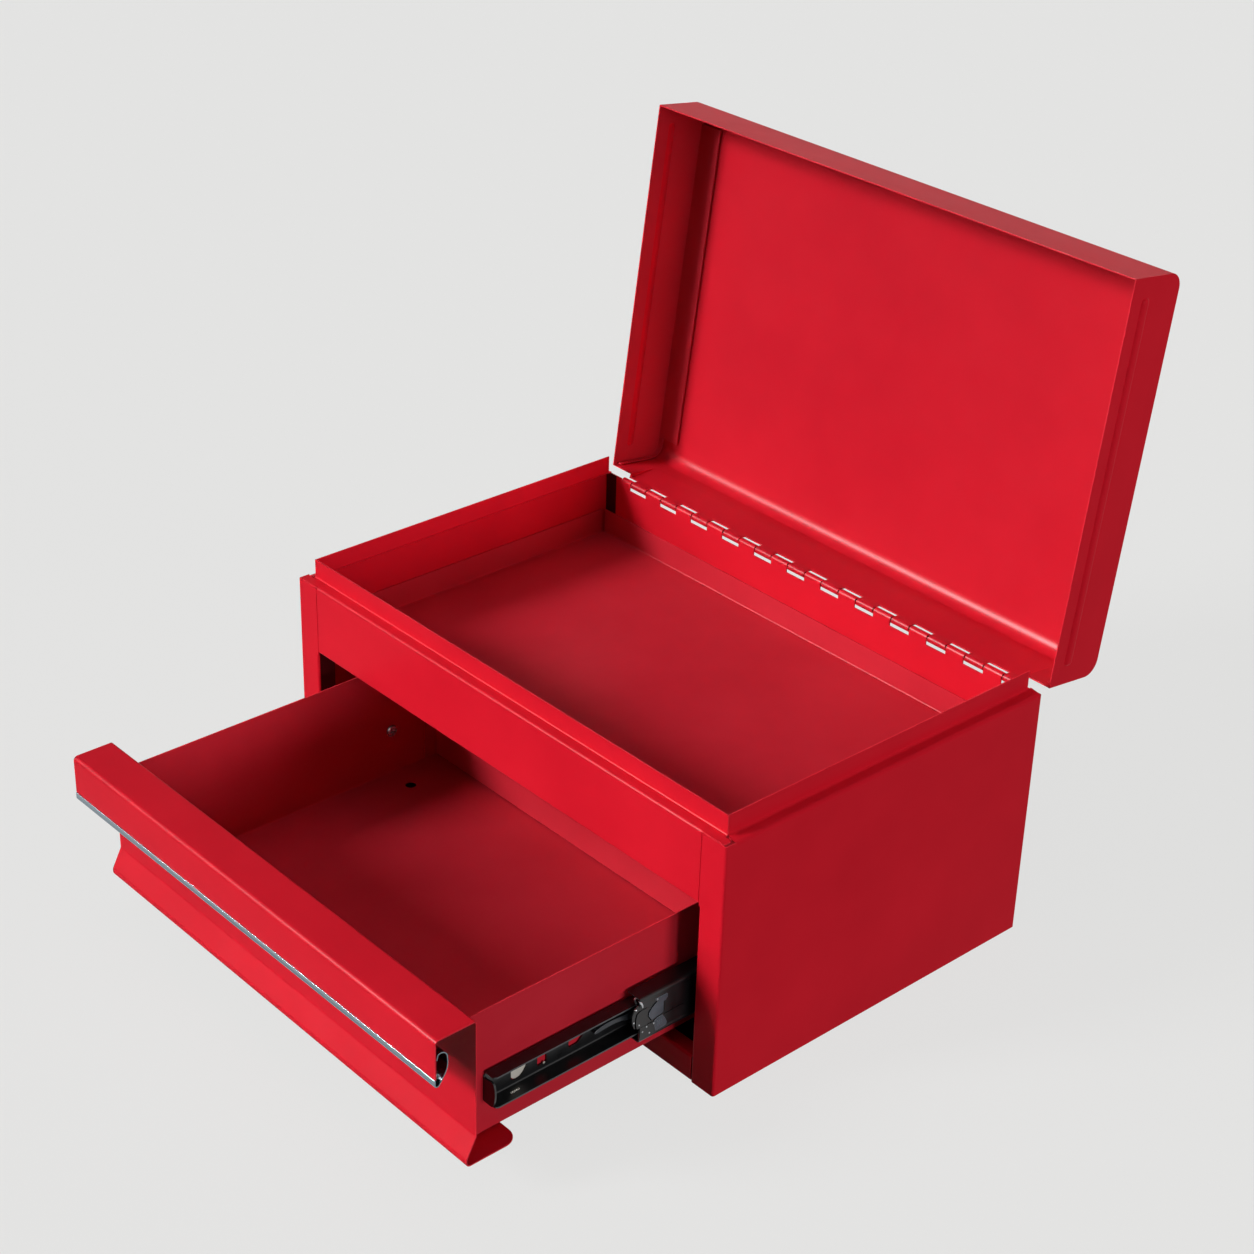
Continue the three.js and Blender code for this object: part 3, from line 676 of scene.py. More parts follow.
def makeTrayPan(values):
    half, under, top, lap = values["half"], values["under"], values["flange"], values["lap"]
    pan = foldSheet("trayPanSheet", "Y", (values["front"], values["rear"] - lap),
                    [(-half, top), (-half, under), (half, under), (half, top)], sheetSteel, foldInside)
    # both sides of the tray take painted shade: the duller copy of the coat on one, the near-black painted
    # shade on the other
    thicken(pan, sheetSteel, edge=0, inner=2)
    rear = foldSheet("trayPanRear", "X", (-half + lap, half - lap), [
        (values["rear"] - values["rearReach"], under), (values["rear"], under), (values["rear"], top),
    ], sheetSteel, foldInside)
    thicken(rear, sheetSteel, edge=0, inner=2)
    weld(pan, rear)
    breakEdges(pan, values["edge"])
    return finishPiece(pan, "tray", "chest", ["tray_pan"])


bottomPanel = {
    "half": 233.8, "sillHalf": 212.3, "front": -154.5, "sill": 21.2, "sillReturn": 12.0,
    "rear": 152.1, "flange": 14.0, "flangeFront": -136.5,
    "edge": 0.16,
}


def makeBottomPanel(values):
    half, front, rear, flange = values["half"], values["front"], values["rear"], values["flange"]
    bottom = foldSheet("bottomSheet", "X", (-values["sillHalf"], values["sillHalf"]), [
        (front + values["sillReturn"], values["sill"]), (front, values["sill"]), (front, 0),
        (rear, 0), (rear, flange),
    ], sheetSteel, foldInside)
    # the bottom's inner side takes the near-black painted shade
    thicken(bottom, sheetSteel, edge=0, inner=2)
    flanks = foldSheet("bottomFlanks", "Y", (values["flangeFront"], rear - 3),
                       [(-half, flange), (-half, 0), (half, 0), (half, flange)], sheetSteel, foldInside)
    thicken(flanks, sheetSteel, edge=0, inner=2)
    weld(bottom, flanks)
    breakEdges(bottom, values["edge"])
    return finishPiece(bottom, "case", "chest", ["bottom_panel"])


frontRail = {
    "reach": 211.9, "foot": 146.6, "return": 12.0, "front": -154.5, "shoulder": 203.5,
    "lipFront": -145.1, "lipTop": 218.5, "lipHalf": 226.0, "ledgeHalf": 232.7, "ledgeLap": 2.2,
    "tabStart": 0.3, "tabSlit": 2.1, "tabCorner": 2.0,
    "edge": 0.16,
}


def addLedgeTab(values, side):
    # rounded tab that runs out to the case's side
    near, far = values["reach"], values["ledgeHalf"]
    front, rear = values["front"] + values["tabStart"], values["lipFront"] - values["tabSlit"]
    level = values["shoulder"] - sheetSteel
    deselectAll()
    bpy.ops.mesh.primitive_plane_add(
        size=1, location=(side * (near + far) / 2 * mm, (front + rear) / 2 * mm, level * mm),
    )
    tab = bpy.context.object
    tab.scale = ((far - near) * mm, (rear - front) * mm, 1)
    applyPlace()
    editMode("VERT")
    pick("verts", lambda place: abs(abs(place.x) - far) < nearby)
    bpy.ops.mesh.bevel(offset=values["tabCorner"] * mm, segments=5, affect="VERTICES")
    objectMode()
    thicken(tab, sheetSteel, edge=0)
    return tab


def makeFrontRail(values):
    front, shoulder, lip = values["front"], values["shoulder"], values["lipFront"]
    rail = foldSheet("frontRailSheet", "X", (-values["reach"], values["reach"]), [
        (front + values["return"], values["foot"]), (front, values["foot"]), (front, shoulder),
        (lip, shoulder), (lip, values["lipTop"]),
    ], -sheetSteel, foldInside)
    thicken(rail, sheetSteel, edge=0)
    for side in (-1, 1):
        span = sorted((side * values["reach"], side * values["lipHalf"]))
        ledge = foldSheet("ledgeEnd", "X", span, [
            (front + values["ledgeLap"], shoulder), (lip, shoulder), (lip, values["lipTop"]),
        ], -sheetSteel, foldInside)
        thicken(ledge, sheetSteel, edge=0)
        weld(rail, ledge, addLedgeTab(values, side))
    breakEdges(rail, values["edge"])
    return finishPiece(rail, "front", "chest", ["front_rail_top"])


sidePanel = {
    "half": 235.0, "front": -154.5, "rear": 154.5, "wrap": 17.0, "jamb": 212.5, "jambSeam": 215.2,
    "stileReturn": 15.0, "stileTop": 202.3, "jambTop": 145.2, "shoulderFoot": 189.0, "shoulder": 203.5,
    "rise": 1.4, "lipFace": 226.0, "lipTop": 218.5, "lipFront": -145.1, "lipRear": 148.7,
    "shoulderRear": 152.0, "shoulderBend": 2.2, "wrapTop": 201.0, "corner": 0.8, "lap": 0.4,
    "notch": 2.0, "notchLength": 1.2, "notchFoot": 1.4,
    "edge": 0.16,
}


def makeSidePanels(values):
    half, front, rear, top = values["half"], values["front"], values["rear"], values["stileTop"]
    jambFace, seam, past = values["jamb"], values["jambSeam"] + values["lap"], half + 5
    wall = foldSheet("sidePanelSheet", "Z", (0, top), [
        (half - values["wrap"], rear), (half, rear), (half, front), (values["jambSeam"], front),
    ], -sheetSteel, values["corner"], steps=6)
    thicken(wall, sheetSteel, edge=0)
    # the inner side of the part that wraps round the rear, and of the jamb, takes the near-black painted
    # shade
    paintFaces(wall, 2, lambda place: abs(place.y - rear + sheetSteel) < nearby and place.x < half - 1.5)
    jamb = foldSheet("jambSheet", "Z", (0, values["jambTop"]), [
        (seam, front), (jambFace, front), (jambFace, front + values["stileReturn"]),
    ], -sheetSteel, foldInside)
    thicken(jamb, sheetSteel, edge=0, inner=2)
    # the jamb's return takes the near-black painted shade too
    paintFaces(jamb, 2, lambda place: place.y > front + sheetSteel + 0.3)
    upper = addBlock((jambFace, front, values["jambTop"]), (seam, front + sheetSteel, top))
    # the wall ends under the shoulder, and lower behind it
    cutAway(wall, addBlock((jambFace, values["lipFront"], values["shoulderFoot"]),
                           (past, values["shoulderRear"], pastTop)))
    cutAway(wall, addBlock((jambFace, values["shoulderRear"] - 0.01, values["wrapTop"]),
                           (past, rear + 5, pastTop)))
    path = [
        (half, values["shoulderFoot"]), (half, values["shoulder"] - values["rise"]),
        (values["lipFace"], values["shoulder"]),
    ]
    lipEdge = (values["lipFace"], values["lipTop"])
    shoulder = foldSheet("shoulderSheet", "Y", (values["lipFront"] - values["lap"], values["lipRear"]),
                         [*path, lipEdge], sheetSteel, values["shoulderBend"], steps=6)
    thicken(shoulder, sheetSteel, edge=0)
    tail = foldSheet("shoulderTail", "Y", (values["lipRear"], values["shoulderRear"] + values["lap"]),
                     path, sheetSteel, values["shoulderBend"], steps=6)
    thicken(tail, sheetSteel, edge=0)
    weld(wall, jamb, upper, shoulder, tail)
    # the small notch at the front end of the lip
    cutAway(wall, addBlock(
        (values["lipFace"] - 5, values["lipFront"] - 1, values["shoulder"] - values["notchFoot"]),
        (values["lipFace"] + values["notch"], values["lipFront"] + values["notchLength"], pastTop)))
    breakEdges(wall, values["edge"])
    finishPair(wall, "sidePanelSheet", "case", "chest", "side_panel")


makeTrayPan(trayPan)
makeBottomPanel(bottomPanel)
makeFrontRail(frontRail)
makeSidePanels(sidePanel)
print("case made")


pianoHinge = {
    "y": 155.3, "z": 199.0, "pitch": 18.25, "half": 213.5, "gap": 1.1, "firstEnd": 11.2, "shortest": 3.0,
    "curl": 322.0, "pin": 1.6, "pinEnd": 0.5,
}


def knucklePlaces(values, owner):
    edges = [-values["half"]]
    edge = -values["half"] + values["firstEnd"]
    while edge < values["half"] - values["shortest"]:
        edges.append(edge)
        edge += values["pitch"]
    edges.append(values["half"])
    last = len(edges) - 2
    halfGap = values["gap"] / 2
    places = []
    for number in range(owner, last + 1, 2):
        low = edges[number] + (halfGap if number > 0 else 0)
        high = edges[number + 1] - (halfGap if number < last else 0)
        places.append((low, high))
    return places


def curlKnuckles(values, owner, foot, start):
    # tongues of the sheet, drawn up to the pin and curled nearly all the way round it:
    # the case's from below, the lid's from above
    places = knucklePlaces(values, owner)
    for place in sorted({end for pair in places for end in pair}):
        if abs(place) > foot["half"] - 0.1:
            continue
        pick("faces", lambda spot: abs(spot.y - start) < nearby and foot["low"] < spot.z < foot["high"])
        bpy.ops.mesh.bisect(plane_co=(place * mm, 0, 0), plane_no=(1, 0, 0))

    def onFoot(spot):
        inside = any(low - 0.01 < spot.x < high + 0.01 for low, high in places)
        return inside and abs(spot.y - start) < nearby and abs(spot.z - foot["level"]) < nearby

    pick("edges", onFoot)
    dropLongEdges(values)
    pullOut((0, 0, (values["z"] - foot["level"]) * mm))
    bpy.ops.mesh.spin(steps=20, angle=math.radians(values["curl"]) * (-1 if owner == 0 else 1),
                      center=Vector((0, values["y"], values["z"])) * mm, axis=(-1, 0, 0))
    bpy.ops.mesh.select_all(action="SELECT")
    bpy.ops.mesh.remove_doubles(threshold=0.01 * mm)


def dropLongEdges(values):
    # the gaps between two tongues pass the same test as the tongues, so their middles tell them apart
    shape = bmesh.from_edit_mesh(bpy.context.object.data)
    for edge in shape.edges:
        if edge.select:
            middle = sum(corner.co.x for corner in edge.verts) / 2 / mm
            if not any(low < middle < high for low, high in values["tongues"]):
                edge.select_set(False)
    bmesh.update_edit_mesh(bpy.context.object.data)


backPanel = {"half": 219.5, "inner": 152.3, "slotFoot": 194.3, "top": 202.0, "edge": 0.12}


def makeBackPanel(values, hinge):
    half, inner, foot = values["half"], values["inner"], values["slotFoot"]
    sheet = foldSheet("backPanelSheet", "Z", (0, foot), [(-half, inner), (half, inner)], sheetSteel, 0)
    # the ends stand up beside the hinge
    editMode()
    for place in (-hinge["half"], hinge["half"] + 1):
        bpy.ops.mesh.select_all(action="SELECT")
        bpy.ops.mesh.bisect(plane_co=(place * mm, 0, 0), plane_no=(1, 0, 0))
    for low, high in ((-half, -hinge["half"]), (hinge["half"] + 1, half)):
        pick("edges", lambda spot: abs(spot.z - foot) < nearby and low - 0.1 < spot.x < high + 0.1)
        pullOut((0, 0, (values["top"] - foot) * mm))
    hinge["tongues"] = knucklePlaces(hinge, 0)
    curlKnuckles(hinge, 0, {"half": half, "low": -1, "high": foot + 1, "level": foot}, inner)
    faceSteel("Z", [(-half, inner), (half, inner)], sheetSteel)
    objectMode()
    thicken(sheet, sheetSteel, edge=values["edge"])
    return finishPiece(sheet, "case", "chest", ["back_panel"])


makeBackPanel(backPanel, pianoHinge)
print("back and hinge made")


lidOpen = 97.4  # degrees

lidShell = {
    "front": -152.0, "rear": 150.2, "rim": 205.0, "top": 256.5, "half": 234.0, "bend": 11.0,
    "crease": 231.0, "leafHalf": 212.0, "slit": 0.6, "leafOuter": 153.3, "leafFoot": 203.9, "leafAnkle": 3,
    "edge": 0.14,
}


def openLid(piece):
    makeActive(piece)
    hinge = Vector((0, pianoHinge["y"], pianoHinge["z"])) * mm
    turn = Matrix.Rotation(-math.radians(lidOpen), 4, "X")
    piece.matrix_world = Matrix.Translation(hinge) @ turn @ Matrix.Translation(-hinge)
    applyPlace()


def makeLidShell(values, hinge):
    rear, rim, top, crease = values["rear"], values["rim"], values["top"], values["crease"]
    path = [(values["front"], rim), (values["front"], top), (rear, top), (rear, rim)]
    shell = foldSheet("lidSheet", "X", (-values["half"], values["half"]), path,
                      -sheetSteel, values["bend"], steps=12)
    editMode()

    def onRear(spot):
        return abs(spot.y - rear) < nearby and spot.z < top - 5

    def belowCrease(spot):
        return onRear(spot) and spot.z < crease + nearby

    def onCrease(spot):
        return abs(spot.y - rear) < nearby and abs(spot.z - crease) < nearby

    pick("faces", onRear)
    bpy.ops.mesh.bisect(plane_co=(0, 0, crease * mm), plane_no=(0, 0, 1))
    leafHalf, slit = values["leafHalf"], values["slit"]
    for place in (-leafHalf - slit, -leafHalf, leafHalf, leafHalf + slit):
        pick("faces", belowCrease)
        bpy.ops.mesh.bisect(plane_co=(place * mm, 0, 0), plane_no=(1, 0, 0))
    # the middle of the rear is cut out, and the hinge leaf leans out from the crease in its place
    pick("faces", lambda spot: belowCrease(spot) and abs(spot.x) < leafHalf + slit + nearby)
    bpy.ops.mesh.delete(type="FACE")
    pick("edges", lambda spot: onCrease(spot) and abs(spot.x) < leafHalf + nearby)
    outer, foot, ankle = values["leafOuter"], values["leafFoot"], values["leafAnkle"]
    pullOut((0, (outer - rear) * mm, (foot + ankle - crease) * mm))
    pullOut((0, 0, -ankle * mm))
    hinge["tongues"] = knucklePlaces(hinge, 1)
    curlKnuckles(hinge, 1, {"half": leafHalf, "low": foot - 1, "high": foot + ankle + 0.1, "level": foot},
                 outer)
    faceSteel("X", path, -sheetSteel)
    objectMode()
    # the lid's inner side takes the darker copy of the coat, a painted shade
    thicken(shell, sheetSteel, edge=values["edge"], inner=2)
    # the hinge leaf is joined to the straight rim by a small three-cornered web at each end
    inside = rear - sheetSteel
    web = [(inside, crease), (outer, foot + ankle), (outer, foot), (inside, rim)]
    for end in (-leafHalf - 0.7, leafHalf - 0.1):
        weld(shell, addPlate("X", web, end, end + 0.8))
    openLid(shell)
    return finishPiece(shell, "lid", "lid", ["lid_panel"])


endCap = {
    "plate": (234.1, 235.0), "front": -152.0, "rear": 150.2, "rim": 205.0, "top": 256.5, "corner": 12.0,
    "beadLevel": 220.5, "beadWidth": 7.0, "beadInset": 15.0,
    "beadSteps": [(0.3, 0.45), (0.4, 0.42), (0.5, 0.36), (0.6, 0.24), (0.6, 0.13)],  # inwards, outwards
    "flange": 22.0, "flangeInset": 18.0, "flangeLevel": 254.6,
    "lap": 0.4,  # how far the flange and the lip run into the plate that they are welded to
    "lipWidth": 5.0, "lipGap": 0.7, "lipBend": 9.6,
    "edge": 0.14,
}


def pressBead(values, length, middle):
    # the long bead, pressed outwards: a flat strip with round ends, raised in rounded steps
    low, high = values["plate"]
    width = values["beadWidth"]
    deselectAll()
    bpy.ops.mesh.primitive_plane_add(size=1, location=Vector((low, middle, values["beadLevel"])) * mm,
                                     rotation=(math.pi / 2, 0, math.pi / 2))
    bead = bpy.context.object
    bead.scale = (length * mm, width * mm, 1)
    applyPlace()
    editMode("VERT")
    bpy.ops.mesh.select_all(action="SELECT")
    bpy.ops.mesh.bevel(offset=width * 0.43 * mm, segments=10, affect="VERTICES")
    bpy.ops.mesh.select_mode(type="FACE")
    bpy.ops.mesh.select_all(action="SELECT")
    for inward, rise in values["beadSteps"]:
        bpy.ops.mesh.inset(thickness=inward * mm, depth=0)
        bpy.ops.transform.translate(value=(rise * mm, 0, 0))
    turnOutwards()
    mesh = bmesh.from_edit_mesh(bead.data)
    if sum(face.normal.x * face.calc_area() for face in mesh.faces) < 0:
        bpy.ops.mesh.flip_normals()
    objectMode()
    thicken(bead, high - low, edge=0)
    return bead


def makeEndCaps(values):
    low, high = values["plate"]
    front, rear, top = values["front"], values["rear"], values["top"]
    plate = foldSheet("lidCapSheet", "Z", (values["rim"], top),
                      [(low, front), (low, rear)], low - high, 0)
    editMode("VERT")
    pick("verts", lambda spot: abs(spot.z - top) < nearby)
    bpy.ops.mesh.bevel(offset=values["corner"] * mm, segments=10, affect="VERTICES")
    objectMode()
    thicken(plate, high - low, edge=0)
    length = rear - front - 2 * values["beadInset"]
    middle, width = (rear + front) / 2, values["beadWidth"]
    cutAway(plate, addPunch("X", (high, middle, values["beadLevel"]), length - 0.4, width - 0.4,
                            width / 2 - 0.21, 6, steps=8))
    bead = pressBead(values, length, middle)
    edge, inset, level = low + values["lap"], values["flangeInset"], values["flangeLevel"] - sheetSteel
    strip = foldSheet("capFlange", "Y", (front + inset, rear - inset), [
        (edge, level), (edge - values["flange"], level),
    ], -sheetSteel, 0)
    thicken(strip, sheetSteel, edge=0)
    # the narrow turned lip that follows the lid's rounded rear bend
    inside = rear - sheetSteel - values["lipGap"]
    above = top - sheetSteel - values["lipGap"]
    lip = foldSheet("capCornerLip", "X", (edge - values["lipWidth"], edge), [
        (inside, values["rim"] + 4), (inside, above), (rear - inset + 0.6, above),
    ], sheetSteel, values["lipBend"], steps=8)
    thicken(lip, sheetSteel, edge=0)
    weld(plate, bead, strip, lip)
    breakEdges(plate, values["edge"])
    # the caps' inner faces take the duller copy of the coat, a painted shade
    paintFaces(plate, 2, lambda spot: spot.x < low + nearby)
    openLid(plate)
    finishPair(plate, "lidCapSheet", "cap", "lid", "lid_end_cap")


makeLidShell(lidShell, pianoHinge)
makeEndCaps(endCap)
print("lid made")


# the slides are drawn closed on the right side, then pulled out and mirrored
slideSet = {"front": -135.5, "rear": 118.5, "level": 68.5, "middleOut": -60.667}


def slideOutline(points, front=None):
    # points are measured back from the rail's front end and up from the slide's middle line
    start = slideSet["front"] if front is None else front
    return [(start + back, slideSet["level"] + up) for back, up in points]


slideRunner = {
    "web": 191.8, "tip": 202.9, "tipLow": 204.4, "low": -12.0, "high": 12.0, "steel": 1.2, "round": 1.3,
    "holder": [
        (21.2, 9), (21.2, -4.6), (22.6, -6.8), (25.2, -7.8), (28.6, -7.4), (31.6, -5.2), (34.0, -1.6),
        (35.6, 3), (35.6, 9),
    ],
    "windows": [
        [(43.2, 9), (43.2, -6.3), (51.0, -5.9), (51.0, 9)],
        [(69.4, 9), (69.8, -4.8), (77.4, -4.4), (80.6, -1.6), (82.4, 1.0), (82.4, 9)],
    ],
    "endPlate": [
        (191.8, 9.4), (191.8, -12.0), (201.0, -12.0), (203.0, -8.6), (203.9, -2.5), (203.8, 2.5),
        (202.6, 6.8), (199.9, 7.9), (193.6, 6.6),
    ],
    "cornerCut": 3.0, "windowCorner": 0.8, "holderCorner": 0.9, "endHalf": 0.7, "endCorner": 1.1,
    "edge": 0.22,
}


def makeRunner(values):
    front, rear, level = slideSet["front"], slideSet["rear"], slideSet["level"]
    web, tip, steel = values["web"], values["tip"], values["steel"]
    low, high = level + values["low"], level + values["high"]
    runner = foldSheet("slideRunner", "Y", (front, rear), [
        (tip, high), (web, high), (web, low), (values["tipLow"], low),
    ], steel, values["round"])
    # the free corners of both flanges are cut round
    editMode("VERT")
    pick("verts", lambda spot: spot.x > tip - nearby)
    bpy.ops.mesh.bevel(offset=values["cornerCut"] * mm, segments=6, affect="VERTICES")
    objectMode()
    thicken(runner, steel, edge=0)
    holes = [(outline, values["windowCorner"]) for outline in values["windows"]]
    for outline, corner in [*holes, (values["holder"], values["holderCorner"])]:
        cutAway(runner, addPlate("X", slideOutline(outline), web - 1, web + steel + 1, corner))
    cutAway(runner, addRod("X", (web, drawerBox["screwPlace"][0], level), drawerBox["screwHole"], 6))
    outline = [(across, level + up) for across, up in values["endPlate"]]
    end = addPlate("Y", outline, front - values["endHalf"], front + values["endHalf"], values["endCorner"])
    weld(runner, end)
    breakEdges(runner, values["edge"], angle=40)
    finishPair(runner, "slideRunnerRail", "slide", "drawer", "slide_runner", drawerOut)


slideHolder = {
    "plate": [
        (21.6, 7.6), (21.6, -4.4), (22.8, -6.3), (25.2, -7.3), (28.4, -7.0), (31.2, -4.9), (33.6, -1.5),
        (35.2, 3), (35.2, 7.6),
    ],
    "inner": 191.85, "outer": 192.35, "corner": 0.8,
    "bar": (198.0, 199.2, 16.2, 23.8),  # left, right, near, far
    "rivets": [(35.9, 7.4), (48.4, -5.5)], "rivetRadius": 0.85,
    "edge": 0.15,
}


def makeHolder(values):
    web = slideRunner["web"] + slideRunner["steel"]
    holder = addPlate("X", slideOutline(values["plate"]), values["inner"], values["outer"],
                      values["corner"])
    for back, up in values["rivets"]:
        spot = slideOutline([(back, up)])[0]
        weld(holder, addRod("X", (web + 0.2, *spot), values["rivetRadius"], 0.9, 20))
    left, right, near, far = values["bar"]
    start, floor = slideSet["front"], slideSet["level"] + slideRunner["low"] + slideRunner["steel"]
    bar = [(left, start + near), (right, start + near), (right, start + far), (left, start + far)]
    weld(holder, addPlate("Z", bar, floor - 0.3, floor + 0.5, 0.5))
    breakEdges(holder, values["edge"], angle=40)
    finishPair(holder, "slideStopPlate", "stop", "drawer", None, drawerOut)


leverBlade = {
    "front": -47.5, "inner": 193.4, "outer": 197.4, "corner": 0.4,
    "blade": [
        (0.0, 0.2), (1.6, 1.3), (4.5, 2.4), (9.0, 3.2), (14.5, 3.4), (21.0, 3.0), (27.0, 2.4), (36.0, 2.1),
        (48.0, 2.1), (48.0, -4.2), (36.0, -4.2), (30.0, -3.2), (25.0, -1.6), (19.0, -0.5), (13.0, -0.5),
        (7.0, -0.9), (3.0, -1.3), (0.8, -1.0),
    ],
    "edge": 0.9,
}


def makeLever(values):
    outline = slideOutline(values["blade"], values["front"])
    blade = addPlate("X", outline, values["inner"], values["outer"], values["corner"], 2)
    breakEdges(blade, values["edge"], angle=50, segments=4)
    finishPair(blade, "releaseBlade", "lever", "lever", "release_lever", drawerOut)


middleRail = {
    "front": -137.4, "tip": 194.5, "outer": 207.0, "step": 0.35, "low": -18.0, "high": 18.0,
    "steel": 1.0, "race": 3.0,
    "tongue": [(-0.9, 8.6), (-4.2, 7.1), (-5.2, 3.4), (-5.3, -0.8), (-4.3, -5.0), (5.0, -5.4), (5.0, 8.6)],
    "arc": [
        (-3.0, 13.8), (-6.6, 11.4), (-8.6, 6.7), (-8.5, 1.3), (-6.6, -3.8), (-5.7, -4.1), (-6.3, -0.8),
        (-6.2, 3.6), (-5.2, 7.6), (-1.6, 9.6),
    ],
    "footPlate": [
        (-1.5, -4.8), (-0.2, -5.6), (1.1, -4.9), (2.4, -5.7), (3.7, -5.0), (5.0, -5.8), (6.3, -5.1),
        (7.6, -5.9), (8.9, -5.3), (10.2, -6.1), (11.6, -5.8), (12.1, -13.8), (0.0, -14.8), (-1.6, -13.8),
    ],
    "boss": [
        (0.6, 15.4), (0.6, 9.4), (19.4, 9.4), (20.6, -2.2), (33.9, -2.7), (37.0, -1.9), (38.6, 2.0),
        (38.6, 15.4),
    ],
    "strip": [(20.1, -3.9), (35.7, -3.5), (38.6, -4.6), (39.3, -6.9), (38.3, -9.1), (23.4, -9.3)],
    "lean": [
        (5.3, 1.0), (5.5, 4.4), (9.2, 7.6), (12.4, 10.6), (15.4, 11.0), (18.6, 7.0), (18.6, -1.4),
        (8.4, -4.1),
    ],
    # how far each plate reaches into the web and stands proud of it
    "proud": [
        ("tongue", -0.9, 0.35), ("arc", -1.0, 0.1), ("footPlate", -0.4, 0.5), ("boss", -0.4, 0.32),
        ("strip", -0.4, 0.4),
    ],
    "plateCorner": 0.5,
    "edge": 0.2,
}


def makeMiddleRail(values):
    level, tip, outer = slideSet["level"], values["tip"], values["outer"]
    step, race = values["step"], values["race"]
    low, high = level + values["low"], level + values["high"]
    rail = foldSheet("slideMiddleRail", "Y", (values["front"], slideSet["rear"]), [
        (tip, high), (outer, high), (outer, high - race), (outer - step, high - race - 1.2),
        (outer - step, low + race + 1.2), (outer, low + race), (outer, low), (tip, low),
    ], -values["steel"], [1.2, 0.2, 0.2, 0.2, 0.2, 1.2])
    thicken(rail, values["steel"], edge=0)
    face = outer - step
    # the web is cut out under the catch, and its tongue, bumper and plates stand a little proud of it
    lean, corner = slideOutline(values["lean"]), values["plateCorner"]
    cutAway(rail, addPlate("X", lean, face - 2, face + 1, corner))
    for name, inner, proud in values["proud"]:
        shape = addPlate("X", slideOutline(values[name]), face + inner, face + proud, corner)
        if name == "boss":
            cutAway(shape, addPlate("X", lean, face - 2, face + 1, corner))
        weld(rail, shape)
    breakEdges(rail, values["edge"], angle=40)
    finishPair(rail, "slideCarrierRail", "slide", "middle_rail", "slide_middle_rail",
               slideSet["middleOut"])


slideCatch = {
    "inner": 205.4, "outer": 207.15, "armCorner": 0.5, "tabCorner": 0.9,
    "arm": [
        (22.1, 12.4), (11.3, 12.6), (12.1, 10.9), (13.7, 9.9), (9.9, 7.0), (6.2, 3.8), (6.0, 1.0),
        (8.8, -3.4), (19.0, -1.6), (18.8, 7.2), (21.1, 7.6), (22.6, 9.8),
    ],
    "tab": [(10.6, -5.0), (17.8, -3.3), (20.3, -6.6), (22.5, -11.4), (22.0, -13.8), (12.4, -14.2)],
    "grooves": [(13.4, -4.8), (15.1, -4.4), (16.8, -4.0)],
    "edge": 0.3,
}


def makeCatch(values):
    inner, outer = values["inner"], values["outer"]
    arm = addPlate("X", slideOutline(values["arm"]), inner, outer, values["armCorner"])
    tab = addPlate("X", slideOutline(values["tab"]), inner + 0.6, outer + 0.1, values["tabCorner"], 4)
    for back, up in values["grooves"]:
        groove = [(back, up - 1.2), (back + 0.6, up - 1.2), (back + 1.4, up - 6.6), (back + 0.8, up - 6.6)]
        cutAway(tab, addPlate("X", slideOutline(groove), outer - 0.3, outer + 1))
    weld(arm, tab)
    breakEdges(arm, values["edge"], angle=40, segments=3)
    finishPair(arm, "slideCatchArm", "catch", "middle_rail", "slide_latch",
               slideSet["middleOut"])


slideClips = {
    "clips": [
        (202.0, 203.2, [
            (-2.6, 17.6), (-3.9, 16.6), (-2.7, 13.2), (-1.0, 9.8), (-0.1, 10.4), (-1.6, 13.6), (-2.6, 16.2),
            (-1.0, 17.4),
        ]),
        (205.8, 207.3, [
            (-2.8, 16.8), (-0.9, 15.7), (0.4, 13.2), (0.6, 10.6), (-0.3, 10.6), (-0.8, 13.0), (-2.4, 15.2),
        ]),
    ],
    "pins": [
        (-5.6, 11.4), (-7.4, 1.8), (10.6, -7.0), (4.2, -6.8), (6.9, -13.0), (0.6, -9.4), (-2.6, -2.3),
        (13.4, 11.4),
    ],
    "pinRadius": 0.62, "pinFace": 207.0, "corner": 0.4,
    "edge": 0.18,
}


def makeClips(values):
    clips = None
    for inner, outer, outline in values["clips"]:
        clip = addPlate("X", slideOutline(outline), inner, outer, values["corner"])
        clips = clip if clips is None else weld(clips, clip)
    for spot in slideOutline(values["pins"]):
        weld(clips, addRod("X", (values["pinFace"] - 0.3, *spot), values["pinRadius"], 1.4, 14))
    breakEdges(clips, values["edge"], angle=40)
    finishPair(clips, "slideClipsAndPins", "zinc", "middle_rail", None,
               slideSet["middleOut"])


outerRail = {
    "tip": 199.0, "outer": 209.0, "low": -23.0, "high": 23.0, "steel": 1.0, "round": 1.4, "edge": 0.22,
}


def makeOuterRail(values):
    level, tip, outer = slideSet["level"], values["tip"], values["outer"]
    low, high = level + values["low"], level + values["high"]
    rail = foldSheet("slideOuterRail", "Y", (slideSet["front"], slideSet["rear"]), [
        (tip, high), (outer, high), (outer, low), (tip, low),
    ], -values["steel"], values["round"])
    thicken(rail, values["steel"], edge=values["edge"])
    finishPair(rail, "slideCaseRail", "slide", "chest", "slide_outer_rail")


slideBracket = {
    "wall": 233.8, "web": 210.1, "half": 18.5, "lip": 10.0, "front": -133.5, "round": 1.2, "edge": 0.2,
}


